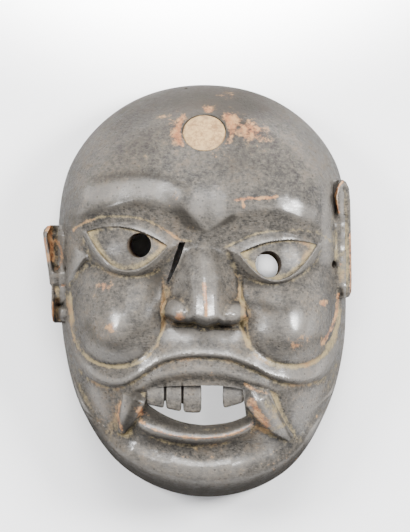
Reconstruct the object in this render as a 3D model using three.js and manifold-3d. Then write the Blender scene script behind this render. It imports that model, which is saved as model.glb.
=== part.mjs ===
import * as THREE from 'three';
import Module from 'manifold-3d';
import { mergeVertices } from 'three/addons/utils/BufferGeometryUtils.js';

// A carved wooden mask of a fanged, wrathful face with a third eye, lying on its flat back rim.
// Millimetres. +Z is the way the face looks, +Y runs from the chin to the crown, and +X is the
// viewer's right. The carving is laid out from the middle of the nose, the point (0, 0).

const wasm = await Module();
wasm.setup();

// Dome of the face and the hollow behind it
const FACE_DEPTH = 84;
const DOME_FLATNESS = 3.4;
const DOME_SQUARENESS = 2.3;
const MEAN_REACH = 115;
const WALL = 12;
const HOLLOW_DEPTH = 68;
const NOSE_HOLLOW = { at: [0, 2], rise: 12, half: [17, 26], fade: [0.5, 0.9] };
const RELIEF_FADE = [0.84, 1];
const FACE_GROUND = -4;
const TOUCH_GAP = 0.3;

// How far the outline reaches from the middle of the nose, in equal turns from +X round to +Y
const OUTLINE_REACH = [
  92.6, 99.2, 120.4, 131.8, 134.6, 132.2, 121.8, 104.4,
  95.6, 99.6, 113.0, 129.2, 135.9, 131.0, 112.4, 98.4,
];

// Brows: the line of each ridge from the viewer's left to right, and the share of the ridge's
// height at places across the face
const BROW = {
  forehead: 6.5, ridge: 3.6, roll: 9, sharpness: 1.6, slope: 0.62, depth: 15, edge: 1.1, foot: 30,
};
const LEFT_BROW = {
  line: [
    [-95, 38], [-91.3, 45], [-86.7, 50.2], [-81.5, 54.1], [-72.4, 57.4], [-63.2, 59.6],
    [-55.4, 61.8], [-46.3, 63.9], [-39.8, 63.6], [-31.9, 61.6], [-20.2, 58.2], [-11, 55.3],
    [-7, 52], [-4.6, 47.8], [-0.7, 42], [1.8, 39.5],
  ],
  rises: [[-92, 0.1], [-80, 0.7], [-65, 1], [-30, 1.05], [-17, 0.6], [0, 0.2]],
};
const RIGHT_BROW = {
  line: [
    [1.8, 39.5], [4.4, 42.4], [10.9, 49.3], [14.5, 52], [20.2, 54.8], [26, 57], [35.9, 58.6],
    [46.3, 58.6], [53, 56.6], [61.9, 53.1], [69.8, 49.2], [76.3, 44.6], [83, 37.5], [90, 29],
  ],
  rises: [[0, 0.2], [16, 0.5], [30, 0.8], [46, 1], [64, 0.9], [76, 0.4], [88, 0]],
};

// Low swells of the forehead: two knobs between the brows and one under the disc
const SWELLS = [
  { at: [-5, 53], rise: 3, half: [5, 8] },
  { at: [8.5, 54.5], rise: 3, half: [5, 8] },
  { at: [0, 91.5], rise: 1.5, half: [50, 30] },
];
const SOCKET = { rise: 11, from: -6.5, to: 23, join: 1 };

// Eyes: corners of the lid opening, and how far each lid bows from the line between them
const LEFT_EYE = {
  from: [-77.5, 38], to: [-24, 28.5], upper: 7.3, lower: 21, upperSkew: -0.05, lowerSkew: 0.05,
};
const RIGHT_EYE = {
  from: [22, 24], to: [73.5, 29.5], upper: 5.6, lower: 20.5, upperSkew: 0.05, lowerSkew: -0.08,
};
const LID = { upperRim: 2, lowerRim: 5.5, band: 6, bandFall: 1.6, bandFoot: 1.4, turn: 2 };
const GOGGLE = { rim: 0.5, wall: 11, width: 10, foot: 0.6, join: 0.8 };
const EYEBALL = { recess: 2.6, step: 0.9, bulge: 1.7, start: [0.5, 2], tight: 1.05, low: 6.5, half: 15 };
const PUPILS = [
  { at: [-43, 29], radius: 8, lean: [6, 0] },
  { at: [41.2, 16.8], radius: 8.7, lean: [-5, -5] },
];

// Cheeks: middle, half width and half height of each ball, and the place of its peak
const CHEEK = {
  height: 14, fall: 15.8, steepness: 1.6, roundness: 2.3, upperLength: 1.25, upperShare: 0.25,
  crease: 3, creaseFrom: 0.95, creaseWidth: 0.1, join: 0.8,
};
const LEFT_CHEEK = { at: [-57.5, -17], half: [30.3, 33.3], peak: [-60.5, -29] };
const RIGHT_CHEEK = { at: [55.5, -16.5], half: [31.6, 33.9], peak: [60.5, -29] };

// Edge of the left cheekbone, raised on its upper side and sunk on its lower one
const CHEEKBONE = {
  line: [[-91.5, 2.5], [-86.5, 9.5], [-80.5, 17], [-75.5, 22]],
  rise: 4.2, riseWidth: 9, sink: 2.4, sinkWidth: 8, turn: [-2.6, 2], ends: 0.15,
};

// Heights on the face between which the jaw gives way to the sockets and brows
const JAW_TO_BROW = [-39, -26];

// The fold that runs under the nose and round both cheeks, and its height along the way
const FOLD = {
  line: [
    [-93, -10.5], [-91.5, -23.5], [-86.5, -37], [-81, -47], [-73, -55], [-61.5, -59.5],
    [-52, -58.8], [-42, -53.2], [-30, -45.5], [-18, -42], [-6, -41], [6.5, -41.5],
    [19.5, -43.6], [32, -48.8], [45, -55.2], [61.5, -58], [73.5, -55.3], [81.5, -48],
    [86.5, -37], [88.5, -23], [89.5, -10.5],
  ],
  crest: [[0, 0.5], [0.1, 2.5], [0.25, 4], [0.5, 5.5], [0.75, 4], [0.9, 2.5], [1, 0.5]],
  slope: 0.42, drop: 7, dropWidth: 5, join: 1.5,
};

// Lips: the crest line of each and its height along the way
const UPPER_LIP = {
  line: [
    [-60.5, -74], [-53, -69.5], [-43.5, -63], [-34.5, -57.5], [-24, -53.8], [-13, -52],
    [-1.5, -51.8], [11, -52.5], [24, -56], [36, -60.5], [46.5, -64], [55.5, -64],
  ],
  crest: [[0, -3], [0.12, 0.5], [0.5, 3], [0.88, 0.5], [1, -3]],
  slope: 0.22, curve: 0.02, underside: 1.05, edge: 2.5, join: 1.5,
};
const LOWER_LIP = {
  line: [
    [-47.5, -83], [-43, -86], [-37, -89.5], [-28.5, -92.5], [-16.5, -95], [-2, -96],
    [11.5, -95], [23, -91.5], [30, -87.5], [34.5, -83.5],
  ],
  crest: [[0, -3], [0.12, 1], [0.5, 5], [0.88, 1], [1, -3]],
  slope: 1, drop: 11, dropWidth: 9.5, foot: 0.3, join: 1.2,
};

// The chin: the crest of its boss with the height over the rim, and the wall under it
const CHIN = {
  line: [[-63, -91], [-48, -102], [-29, -111.5], [0, -116.5], [28, -111.5], [44, -102], [57, -91]],
  crest: [[0, 46], [0.15, 58], [0.35, 65.5], [0.5, 66.5], [0.65, 65.5], [0.85, 58], [1, 46]],
  slopeUp: 0.46, edge: 3, roundDown: 0.035, wallFlatness: 9, corner: 5, leastCorner: 0.01,
  rim: 0.08, sunk: 1, join: 7,
};

// Mouth opening: the upper edge from the viewer's left to right, and the lower edge back again
const MOUTH_TOP = [[-38, -70], [-34, -64.5], [-24, -62.5], [-1.5, -62], [13, -62.5], [24.5, -64.5]];
const MOUTH_BOTTOM = [
  [26.7, -82], [18, -85.5], [8, -87.3], [-3, -87.8], [-16, -85.5], [-27, -81], [-36.5, -75],
];
const MOUTH_STEPS = 2;

// Nose: ridge height, half width and lean by share of its length, and the cut bottom by place across
const NOSE = {
  top: 35, length: 54,
  ridge: [[0, 2.6], [0.05, 4], [0.14, 5.6], [0.3, 12], [0.5, 18.6], [0.7, 22.2], [0.85, 24.3], [1.1, 26]],
  halves: [[0, 10], [0.17, 14], [0.5, 22], [0.9, 25], [1.1, 24.5]],
  lean: [[0, -1.5], [1, 0.5]],
  bottom: [
    [-24, -16.5], [-19, -18.8], [-14.5, -19.6], [-10, -18.6], [-7, -17.2], [-3, -18.8], [1, -19.4],
    [5.5, -18.6], [8.5, -18.2], [12, -20.4], [16.5, -21.4], [20.5, -20.4], [24, -18],
  ],
  base: -5, facetSlope: 0.42, sideGain: 1.22, cut: 5.2, cutEdge: 2, topFall: 0.8, longest: 1.1,
  blunt: { tip: 0.9, root: 3.6, until: 0.55 },
  turn: { tip: 1, root: 5, until: 0.8 },
  join: { tip: 1, root: 6, from: 5, to: 33 },
};
const WINGS = { at: [[-15.4, -14.6], [16.4, -16.2]], height: 16.2, fall: 7.5, half: [8.4, 7.2], join: 2.6 };
const NOSTRILS = { at: [[-12.8, -22], [9.5, -23.8]], depth: 5, half: [6.5, 1.6] };

// Slit cut through the wood between the left eye and the nose
const SLIT = [
  [-16.8, 31], [-12.8, 31], [-14.3, 26], [-17, 18.3], [-20.2, 11.7], [-24, 3.6], [-25.2, 5],
  [-23.8, 9.3], [-21.8, 14.3], [-19.8, 22.2], [-18, 26.7],
];

// Fangs: middle line, height along it, and half width at the gum and at the tip
const FANG = { taper: 1.2, slope: 0.55, side: 2.6, ridge: 0.5, join: 0.8 };
const FANGS = [
  {
    line: [[-44.5, -66], [-48.5, -77], [-54, -91]],
    crest: [[0, 0], [0.2, 0.8], [0.6, 1], [1, 0.35]], half: [8.2, 2.4], rise: 6.5,
  },
  {
    line: [[31, -65], [37.5, -76], [44.5, -86], [54.5, -95.5]],
    crest: [[0, 0.2], [0.2, 0.9], [0.6, 1], [1, 0.35]], half: [9.5, 2.4], rise: 7.5,
  },
];

// Teeth: sides, heights of the lower edge at each side, and depths of the back and the face.
// The last one is the web that joins the first three at their gums.
const TOOTH_ROOT = -59;
const TEETH = [
  { left: -38, right: -26.4, bottom: [-74, -77], depths: [67, 75.5] },
  { left: -25.4, right: -15.2, bottom: [-77, -79], depths: [67, 75.5] },
  { left: -14.2, right: -2.3, bottom: [-79.5, -79.8], depths: [67, 75.5] },
  { left: 11.6, right: 25.5, bottom: [-77, -73], depths: [67, 75.5] },
  { left: -36, right: -3.5, bottom: [-70.5, -75.5], depths: [64, 70.6] },
];

// Third eye: a round disc let into the forehead
const DISC = {
  at: [-0.5, 103], radius: 14, thickness: 2.2, sunk: 0.7, crown: 0.7, rings: [1, 0.8, 0.55, 0.3],
};
const SEAT_PROUD = 6;

// Ears: places are the height on the face and the distance from the middle of the face. The outer
// edge, the crest of the rim and its height change down the ear; blocks are sunk or raised by damage.
const EAR = { thickness: 6.5, backSlope: 0.55, leastWall: 1.2, crestEdge: 0.6, bowlPower: 0.7, round: 1.6 };
const LEFT_EAR = {
  side: -1, root: 84, bowl: 10, outerFall: 0.9,
  edge: [
    [-21.6, 98.2], [-20.6, 99.6], [-16.3, 100.4], [-9.8, 100.6], [2.4, 100.4], [4, 101.6],
    [6.5, 101.9], [13, 102.6], [19.6, 103.6], [26, 104.5], [32.6, 105.5], [37.2, 106],
    [39.8, 105.3], [41.9, 103], [42.4, 100],
  ],
  rim: [[-21.6, 98.6], [5, 99], [12, 99], [20, 101.2], [36, 103.4], [42.4, 100.5]],
  crest: [[-21.6, 33], [-6, 34], [4, 35], [12, 36], [20, 38.5], [36, 39], [42.4, 33]],
  bowlDrop: [[-21.6, 0.5], [11, 0], [14, 4], [20, 9], [38, 10], [42.4, 3]],
  blocks: [
    { x: [70, 99], y: [-30, 3.2], rise: -2.2 },
    { x: [95, 98.4], y: [-21, -6], rise: -5 },
    { x: [70, 97], y: [-11.6, -9], rise: -4.5 },
    { x: [88, 95.5], y: [-18.5, -12], rise: 5.5 },
  ],
};
const RIGHT_EAR = {
  side: 1, root: 83, bowl: 9, outerFall: 0.75,
  edge: [
    [-5.4, 91.5], [-4.4, 94.3], [-1.3, 95.7], [6.5, 95.9], [19.6, 95.7], [36, 95.4],
    [48.9, 95.1], [58.7, 94.8], [66.5, 94], [70.6, 92], [71.9, 90],
  ],
  rim: [[-5.4, 86], [47, 86], [50.2, 87], [55.4, 85.9], [60.6, 85.6], [66.5, 86.5], [71.9, 88.5]],
  crest: [[-5.4, 44], [20, 47], [45, 49], [50, 51], [58, 53], [67, 51.5], [71.9, 46]],
  bowlDrop: [[-5.4, 0], [48.5, 0], [52, 12], [58, 11], [68, 10], [71.9, 4]],
  blocks: [
    { x: [87, 89.5], y: [-4.5, 1], rise: -3.4 },
  ],
};
const EAR_ROWS = 16;
const EAR_WAYS = [0, 0.35, 0.8, 1];

// Holes for the tie cords, each drilled through the wall from an outer point to an inner one
const CORD_HOLES = [
  { from: [-12.5, 140, 26], to: [-12.5, 108, 14], radius: 1.5 },
  { from: [92, 15.6, 56], to: [66, 19.4, 29], radius: 2.6 },
  { from: [-100, 13.5, 44], to: [-76, 13.5, 26], radius: 1.8 },
];
const CORD_HOLE_SIDES = 12;

// How finely the surfaces are cut into triangles
const FRONT_CELLS = 256;
const FRONT_TOLERANCE = 0.5;
const KNIFE_WIDTH = 1.3;
const KNIFE_SHARE = 0.16;
const HOLLOW_CELLS = 32;
const HOLLOW_TOLERANCE = 0.7;
const SPLINE_STEPS = 4;
const ARC_STEPS = 200;
const ROUND_SIDES = 28;
const SAME_POINT = 1e-4;

// Smooth steps and blends

const clamp = THREE.MathUtils.clamp;

function smoothStep(low, high, x) {
  const t = clamp((x - low) / (high - low), 0, 1);
  return t * t * (3 - 2 * t);
}

function smoothMax(a, b, blend) {
  const t = clamp(0.5 + (0.5 * (a - b)) / blend, 0, 1);
  return b + (a - b) * t + blend * t * (1 - t);
}

function smoothMin(a, b, blend) {
  return -smoothMax(-a, -b, blend);
}

function bell(x, y, [cx, cy], [width, height]) {
  return Math.exp(-(((x - cx) / width) ** 2) - ((y - cy) / height) ** 2);
}

function readTable(table, t) {
  const next = table.findIndex(([key]) => key >= t);
  if (next === 0) return table[0][1];
  if (next < 0) return table.at(-1)[1];
  const [t0, v0] = table[next - 1];
  const [t1, v1] = table[next];
  return v0 + ((v1 - v0) * (t - t0)) / (t1 - t0);
}

// Smooth lines on the face

function curveThrough(points, steps = SPLINE_STEPS) {
  const curve = new THREE.SplineCurve(points.map(([x, y]) => new THREE.Vector2(x, y)));
  return curve.getPoints((points.length - 1) * steps);
}

// Signed distance from a line, positive on the left of its run, and how far along it the point is
function fromLine(line, x, y) {
  let best = Infinity;
  let found = { side: 0, along: 0 };
  let run = 0;
  for (let i = 0; i + 1 < line.length; i += 1) {
    const [a, b] = [line[i], line[i + 1]];
    const [ex, ey] = [b.x - a.x, b.y - a.y];
    const length = Math.hypot(ex, ey);
    const t = clamp(((x - a.x) * ex + (y - a.y) * ey) / length ** 2, 0, 1);
    const gap = Math.hypot(x - a.x - t * ex, y - a.y - t * ey);
    if (gap < best) {
      best = gap;
      const turn = ex * (y - a.y) - ey * (x - a.x);
      found = { side: turn < 0 ? -gap : gap, along: run + t * length };
    }
    run += length;
  }
  return { side: found.side, along: found.along / run };
}

// Reach of the outline at an angle, a smooth closed curve through the named reaches
function outlineReach(angle) {
  const count = OUTLINE_REACH.length;
  const place = ((angle / (2 * Math.PI)) * count + count) % count;
  const i = Math.floor(place);
  const t = place - i;
  const [a, b, c, d] = [-1, 0, 1, 2].map((step) => OUTLINE_REACH[(i + step + count) % count]);
  const bend = (2 * a - 5 * b + 4 * c - d) * t * t + (3 * b - a - 3 * c + d) * t ** 3;
  return 0.5 * (2 * b + (c - a) * t + bend);
}

// Parts of the relief, each a height over the dome of the face

const brows = [LEFT_BROW, RIGHT_BROW].map(({ line, rises }) => ({ line: curveThrough(line), rises }));

function browRelief(x, y) {
  const { line, rises } = brows[x > 0 ? 1 : 0];
  const { side } = fromLine(line, x, y);
  const up = y < BROW.foot ? -Math.abs(side) : side;
  const ridge = BROW.ridge * readTable(rises, x);
  const slant = BROW.slope * (Math.hypot(Math.max(-up, 0), BROW.edge) - BROW.edge);
  const fall = BROW.depth * Math.tanh(slant / BROW.depth);
  const rise = ridge * Math.exp(-((Math.max(up, 0) / BROW.roll) ** BROW.sharpness));
  const swells = SWELLS.reduce((sum, swell) => sum + swell.rise * bell(x, y, swell.at, swell.half), 0);
  return BROW.forehead + rise - fall + swells;
}

// Bowed lid line over the chord of the eye: its height and slope at a place along the chord
function lidLine(bow, skew, u, halfLength) {
  const w = u - skew * (1 - u * u);
  const slope = (-2 * bow * w * (1 + 2 * skew * u)) / halfLength;
  return { height: bow * (1 - w * w), slant: Math.sqrt(1 + slope * slope) };
}

function goggleEye(eye, x, y) {
  const middle = [(eye.from[0] + eye.to[0]) / 2, (eye.from[1] + eye.to[1]) / 2];
  const chord = [eye.to[0] - eye.from[0], eye.to[1] - eye.from[1]];
  const half = Math.hypot(...chord) / 2;
  const [ex, ey] = [chord[0] / (2 * half), chord[1] / (2 * half)];
  const u = ((x - middle[0]) * ex + (y - middle[1]) * ey) / half;
  const v = -(x - middle[0]) * ey + (y - middle[1]) * ex;
  const upperLid = lidLine(eye.upper, eye.upperSkew, u, half);
  const lowerLid = lidLine(eye.lower, eye.lowerSkew, u, half);
  const above = (v - upperLid.height) / upperLid.slant;
  const below = (-v - lowerLid.height) / lowerLid.slant;
  const out = Math.max(above, below);
  const outerShare = smoothStep(-LID.turn, LID.turn, above - below);
  const share = out < 0 ? below / (above + below) : outerShare;
  const rim = LID.upperRim * share + LID.lowerRim * (1 - share);
  if (out < 0) {
    const ball = clamp(1 - (u * EYEBALL.tight) ** 2 - ((v + EYEBALL.low) / EYEBALL.half) ** 2, 0, 1);
    const recess = EYEBALL.recess * smoothStep(0, EYEBALL.step, -out);
    return rim - recess + EYEBALL.bulge * ball * smoothStep(...EYEBALL.start, -out);
  }
  const bandShare = Math.min(out, LID.band) / LID.band;
  const band = LID.bandFall * bandShare + LID.bandFoot * Math.max(out - LID.band, 0);
  const drop = clamp((out - GOGGLE.rim) / GOGGLE.width, 0, 1);
  const wall = GOGGLE.wall * Math.sin((Math.PI / 2) * drop) + GOGGLE.foot * Math.max(out - GOGGLE.width, 0);
  return rim - band * outerShare - wall * (1 - outerShare);
}

// Reach of a rounded square: the root of the sum of equal powers
function roundedReach(u, v) {
  return (Math.abs(u) ** CHEEK.roundness + Math.abs(v) ** CHEEK.roundness) ** (1 / CHEEK.roundness);
}

function cheekBall(cheek, x, y) {
  const place = (px, py) => [(px - cheek.at[0]) / cheek.half[0], (py - cheek.at[1]) / cheek.half[1]];
  const [u, v] = place(x, y);
  const [peakU, peakV] = place(...cheek.peak);
  const edge = roundedReach(u, v > 0 ? CHEEK.upperShare * v : v);
  const lean = 1 - Math.min(edge, 1) ** 2;
  const [du, dv] = [u - peakU * lean, v - peakV * lean];
  const fall = roundedReach(du, dv > 0 ? dv / CHEEK.upperLength : dv) ** CHEEK.steepness;
  const crease = CHEEK.crease * clamp((edge - CHEEK.creaseFrom) / CHEEK.creaseWidth, 0, 3) ** 2;
  return CHEEK.height - CHEEK.fall * fall - crease;
}

const cheekboneLine = curveThrough(CHEEKBONE.line);
const foldLine = curveThrough(FOLD.line);
const upperLipLine = curveThrough(UPPER_LIP.line);
const lowerLipLine = curveThrough(LOWER_LIP.line);
const chinLine = curveThrough(CHIN.line);

function cheekboneRelief(x, y) {
  const { side, along } = fromLine(cheekboneLine, x, y);
  const ends = smoothStep(0, CHEEKBONE.ends, along) * smoothStep(0, CHEEKBONE.ends, 1 - along);
  const high = CHEEKBONE.rise * Math.exp(-((side / CHEEKBONE.riseWidth) ** 2));
  const low = -CHEEKBONE.sink * Math.exp(-((side / CHEEKBONE.sinkWidth) ** 2));
  const blend = smoothStep(...CHEEKBONE.turn, side);
  return ends * (high * blend + low * (1 - blend));
}

function foldRelief(x, y) {
  const { side, along } = fromLine(foldLine, x, y);
  const crest = readTable(FOLD.crest, along);
  return side > 0 ? crest - FOLD.slope * side : crest - FOLD.drop * smoothStep(0, FOLD.dropWidth, -side);
}

function upperLipRelief(x, y) {
  const { side, along } = fromLine(upperLipLine, x, y);
  const crest = readTable(UPPER_LIP.crest, along);
  if (side > 0) return crest - UPPER_LIP.slope * side - UPPER_LIP.curve * side * side;
  return crest - UPPER_LIP.underside * (Math.hypot(side, UPPER_LIP.edge) - UPPER_LIP.edge);
}

function lowerLipRelief(x, y) {
  const { side, along } = fromLine(lowerLipLine, x, y);
  const crest = readTable(LOWER_LIP.crest, along);
  if (side > 0) return crest - LOWER_LIP.slope * side;
  const { drop, dropWidth, foot } = LOWER_LIP;
  return crest - drop * smoothStep(0, dropWidth, -side) - foot * Math.max(-side - dropWidth, 0);
}

const fangs = FANGS.map((fang) => ({ ...fang, line: curveThrough(fang.line) }));

function fangRelief(fang, x, y) {
  const { side, along } = fromLine(fang.line, x, y);
  const half = fang.half[0] + (fang.half[1] - fang.half[0]) * along ** FANG.taper;
  const across = Math.sqrt(side ** 2 + FANG.ridge);
  const crest = fang.rise * readTable(fang.crest, along);
  return crest - FANG.slope * across - FANG.side * Math.max(across - half, 0);
}

function noseRelief(x, y) {
  const { blunt, turn, base } = NOSE;
  const down = clamp((NOSE.top - y) / NOSE.length, 0, NOSE.longest);
  const [ridge, half, lean] = [NOSE.ridge, NOSE.halves, NOSE.lean].map((table) => readTable(table, down));
  const roundness = blunt.tip + blunt.root * (1 - smoothStep(0, blunt.until, down));
  const across = Math.hypot(x - lean, roundness) - 0.5 * roundness;
  const facet = ridge - NOSE.facetSlope * across;
  const plane = base + NOSE.sideGain * (ridge - base) * (1 - across / half);
  let height = smoothMin(facet, plane, turn.tip + turn.root * (1 - smoothStep(0, turn.until, down)));
  for (const [wx, wy] of WINGS.at) {
    const gap = ((x - wx) / WINGS.half[0]) ** 2 + ((y - wy) / WINGS.half[1]) ** 2;
    height = smoothMax(height, WINGS.height - WINGS.fall * gap, WINGS.join);
  }
  const under = smoothMax(readTable(NOSE.bottom, x) - y, 0, NOSE.cutEdge);
  return height - NOSE.cut * under - NOSE.topFall * Math.max(y - NOSE.top, 0);
}

function nostrilDepth(x, y) {
  const [width, height] = NOSTRILS.half;
  const pits = NOSTRILS.at.map(([nx, ny]) => {
    return Math.exp(-(((x - nx) / width) ** 4) - ((y - ny) / height) ** 2);
  });
  return NOSTRILS.depth * pits.reduce((sum, pit) => sum + pit, 0);
}

function relief(x, y) {
  const socketFloor = FACE_GROUND + SOCKET.rise * smoothStep(SOCKET.from, SOCKET.to, y);
  const socket = smoothMin(browRelief(x, y), socketFloor, SOCKET.join);
  const upperLip = smoothMax(FACE_GROUND, upperLipRelief(x, y), UPPER_LIP.join);
  const jaw = smoothMax(upperLip, lowerLipRelief(x, y), LOWER_LIP.join);
  const upper = smoothStep(...JAW_TO_BROW, y);
  let height = socket * upper + jaw * (1 - upper);
  height = smoothMax(height, foldRelief(x, y), FOLD.join);
  height = smoothMax(height, cheekBall(x < 0 ? LEFT_CHEEK : RIGHT_CHEEK, x, y), CHEEK.join);
  height = smoothMax(height, goggleEye(x < 0 ? LEFT_EYE : RIGHT_EYE, x, y), GOGGLE.join);
  for (const fang of fangs) height = smoothMax(height, fangRelief(fang, x, y), FANG.join);
  const join = NOSE.join.tip + NOSE.join.root * smoothStep(NOSE.join.from, NOSE.join.to, y);
  height = smoothMax(height, noseRelief(x, y), join);
  return height + cheekboneRelief(x, y) - nostrilDepth(x, y);
}

// Height of the chin's boss over the rim, under a wall that closes at the outline
function chinHeight(x, y, share) {
  const { side, along } = fromLine(chinLine, x, y);
  const up = CHIN.slopeUp * (Math.hypot(side, CHIN.edge) - CHIN.edge);
  const boss = readTable(CHIN.crest, along) - (side > 0 ? up : CHIN.roundDown * side ** 2);
  const wall = FACE_DEPTH * clamp(1 - share ** CHIN.wallFlatness, 0, 1) ** (1 / DOME_SQUARENESS);
  const inside = smoothStep(0, CHIN.rim, 1 - share);
  const boxed = smoothMin(boss, wall, CHIN.corner * inside + CHIN.leastCorner);
  return boxed - CHIN.sunk * (1 - inside);
}

// The face and its hollow, each laid on a square grid that is drawn out to the outline

function domeHeight(depth, share) {
  return depth * (1 - share ** DOME_FLATNESS) ** (1 / DOME_SQUARENESS);
}

// Share of the reach at which an equal share of the dome's own length has been run
function evenSpacing(depth, radius) {
  const shares = [];
  const runs = [0];
  for (let i = 0; i <= ARC_STEPS; i += 1) shares.push(1 - (1 - i / ARC_STEPS) ** 2);
  for (let i = 1; i <= ARC_STEPS; i += 1) {
    const rise = domeHeight(depth, shares[i]) - domeHeight(depth, shares[i - 1]);
    runs.push(runs[i - 1] + Math.hypot((shares[i] - shares[i - 1]) * radius, rise));
  }
  const whole = runs[ARC_STEPS];
  return runs.map((run, i) => [run / whole, shares[i]]);
}

// Point of the unit disc for a point of the square from -1 to 1
function squareToDisc(u, v) {
  return [u * Math.sqrt(1 - (v * v) / 2), v * Math.sqrt(1 - (u * u) / 2)];
}

function domePlacer(depth, inset, heightAt) {
  const spacing = evenSpacing(depth, MEAN_REACH);
  return (u, v) => {
    const [a, b] = squareToDisc(u, v);
    const angle = Math.atan2(b, a);
    const share = readTable(spacing, Math.min(Math.hypot(a, b), 1));
    const reach = outlineReach(angle) - inset;
    const x = Math.cos(angle) * share * reach;
    const y = Math.sin(angle) * share * reach;
    return new THREE.Vector3(x, y, heightAt(x, y, share));
  };
}

// The relief with its sharpest edges eased over a knife's width
function easedRelief(x, y) {
  const w = KNIFE_WIDTH;
  const around = relief(x + w, y) + relief(x - w, y) + relief(x, y + w) + relief(x, y - w);
  return (1 - 4 * KNIFE_SHARE) * relief(x, y) + KNIFE_SHARE * around;
}

function faceHeight(x, y, share) {
  const fade = 1 - smoothStep(...RELIEF_FADE, share);
  const carved = domeHeight(FACE_DEPTH, share) + (fade > 0 ? fade * easedRelief(x, y) : 0);
  return smoothMax(carved, chinHeight(x, y, share), CHIN.join);
}

function hollowHeight(x, y, share) {
  const fade = 1 - smoothStep(...NOSE_HOLLOW.fade, share);
  const nose = NOSE_HOLLOW.rise * bell(x, y, NOSE_HOLLOW.at, NOSE_HOLLOW.half);
  return domeHeight(HOLLOW_DEPTH, share) + fade * nose;
}

// Right triangles that split at the middle of their long side until the surface is near enough

function splitTriangle([ax, ay, bx, by, cx, cy]) {
  const [mx, my] = [(ax + bx) / 2, (ay + by) / 2];
  return [[cx, cy, ax, ay, mx, my], [bx, by, cx, cy, mx, my]];
}

function adaptiveSurface(cells, tolerance, placer) {
  const side = cells + 1;
  const index = (i, j) => j * side + i;
  const points = [];
  for (let j = 0; j < side; j += 1) {
    for (let i = 0; i < side; i += 1) points.push(placer((2 * i) / cells - 1, (2 * j) / cells - 1));
  }
  const point = (i, j) => points[index(clamp(i, 0, cells), clamp(j, 0, cells))];
  const facing = (i, j) => {
    const across = point(i + 1, j).clone().sub(point(i - 1, j));
    return across.cross(point(i, j + 1).clone().sub(point(i, j - 1))).normalize();
  };
  const levels = [[[0, 0, cells, cells, cells, 0], [cells, cells, 0, 0, 0, cells]]];
  const legs = 2 * Math.log2(cells);
  for (let level = 0; level < legs; level += 1) levels.push(levels[level].flatMap(splitTriangle));
  const worst = new Float32Array(side * side);
  for (let level = legs; level >= 0; level -= 1) {
    for (const triangle of levels[level]) {
      const [ax, ay, bx, by] = triangle;
      const [mx, my] = [(ax + bx) / 2, (ay + by) / 2];
      if (!Number.isInteger(mx) || !Number.isInteger(my)) continue;
      const flat = point(ax, ay).clone().add(point(bx, by)).multiplyScalar(0.5);
      let error = Math.abs(flat.sub(point(mx, my)).dot(facing(mx, my)));
      for (const [px, py, qx, qy] of splitTriangle(triangle)) {
        const [nx, ny] = [(px + qx) / 2, (py + qy) / 2];
        if (Number.isInteger(nx) && Number.isInteger(ny)) error = Math.max(error, worst[index(nx, ny)]);
      }
      worst[index(mx, my)] = Math.max(worst[index(mx, my)], error);
    }
  }
  const triangles = [];
  const visit = (triangle) => {
    const [ax, ay, bx, by, cx, cy] = triangle;
    const [mx, my] = [(ax + bx) / 2, (ay + by) / 2];
    const whole = Number.isInteger(mx) && Number.isInteger(my);
    if (whole && worst[index(mx, my)] > tolerance) splitTriangle(triangle).forEach(visit);
    else triangles.push([index(ax, ay), index(cx, cy), index(bx, by)]);
  };
  levels[0].forEach(visit);
  const used = new Set(triangles.flat());
  const border = [...used].filter((k) => {
    const [i, j] = [k % side, Math.floor(k / side)];
    return i === 0 || j === 0 || i === cells || j === cells;
  });
  return { points, triangles, border };
}

// Closes the band between two loops that run round the same middle, by walking both at once
function zipLoops(outer, inner, turnOf) {
  const turnAt = (loop, k) => {
    if (k > loop.length) return Infinity;
    return turnOf(loop[k % loop.length]) + (k === loop.length ? 2 * Math.PI : 0);
  };
  const triangles = [];
  let [i, j] = [0, 0];
  while (i < outer.length || j < inner.length) {
    const a = outer[i % outer.length];
    const b = inner[j % inner.length];
    if (turnAt(outer, i + 1) <= turnAt(inner, j + 1)) {
      i += 1;
      triangles.push([a, b, outer[i % outer.length]]);
    } else {
      j += 1;
      triangles.push([a, b, inner[j % inner.length]]);
    }
  }
  return triangles;
}

function shellSolid() {
  const facePlacer = domePlacer(FACE_DEPTH, 0, faceHeight);
  const hollowPlacer = domePlacer(HOLLOW_DEPTH, WALL, hollowHeight);
  const front = adaptiveSurface(FRONT_CELLS, FRONT_TOLERANCE, facePlacer);
  const hollow = adaptiveSurface(HOLLOW_CELLS, HOLLOW_TOLERANCE, hollowPlacer);
  const offset = front.points.length;
  const points = [...front.points, ...hollow.points];
  const turnOf = (k) => Math.atan2(points[k].y, points[k].x);
  const byTurn = (a, b) => turnOf(a) - turnOf(b);
  const outer = [...front.border].sort(byTurn);
  const inner = hollow.border.map((k) => k + offset).sort(byTurn);
  for (const k of [...outer, ...inner]) points[k].z = 0;
  const triangles = [
    ...front.triangles,
    ...hollow.triangles.map(([a, b, c]) => [a + offset, c + offset, b + offset]),
    ...zipLoops(outer, inner, turnOf),
  ];
  return solidOf(points, triangles);
}

// Solids and meshes

function toSolid(geometry) {
  const bare = geometry.clone();
  bare.deleteAttribute('normal');
  bare.deleteAttribute('uv');
  const merged = mergeVertices(bare, SAME_POINT);
  const triVerts = Uint32Array.from(merged.index.array);
  const used = [...new Set(triVerts)];
  const renumber = new Map(used.map((old, i) => [old, i]));
  const at = merged.getAttribute('position');
  const kept = used.flatMap((k) => [at.getX(k), at.getY(k), at.getZ(k)]);
  return new wasm.Manifold(new wasm.Mesh({
    numProp: 3,
    vertProperties: Float32Array.from(kept),
    triVerts: triVerts.map((k) => renumber.get(k)),
  }));
}

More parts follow.
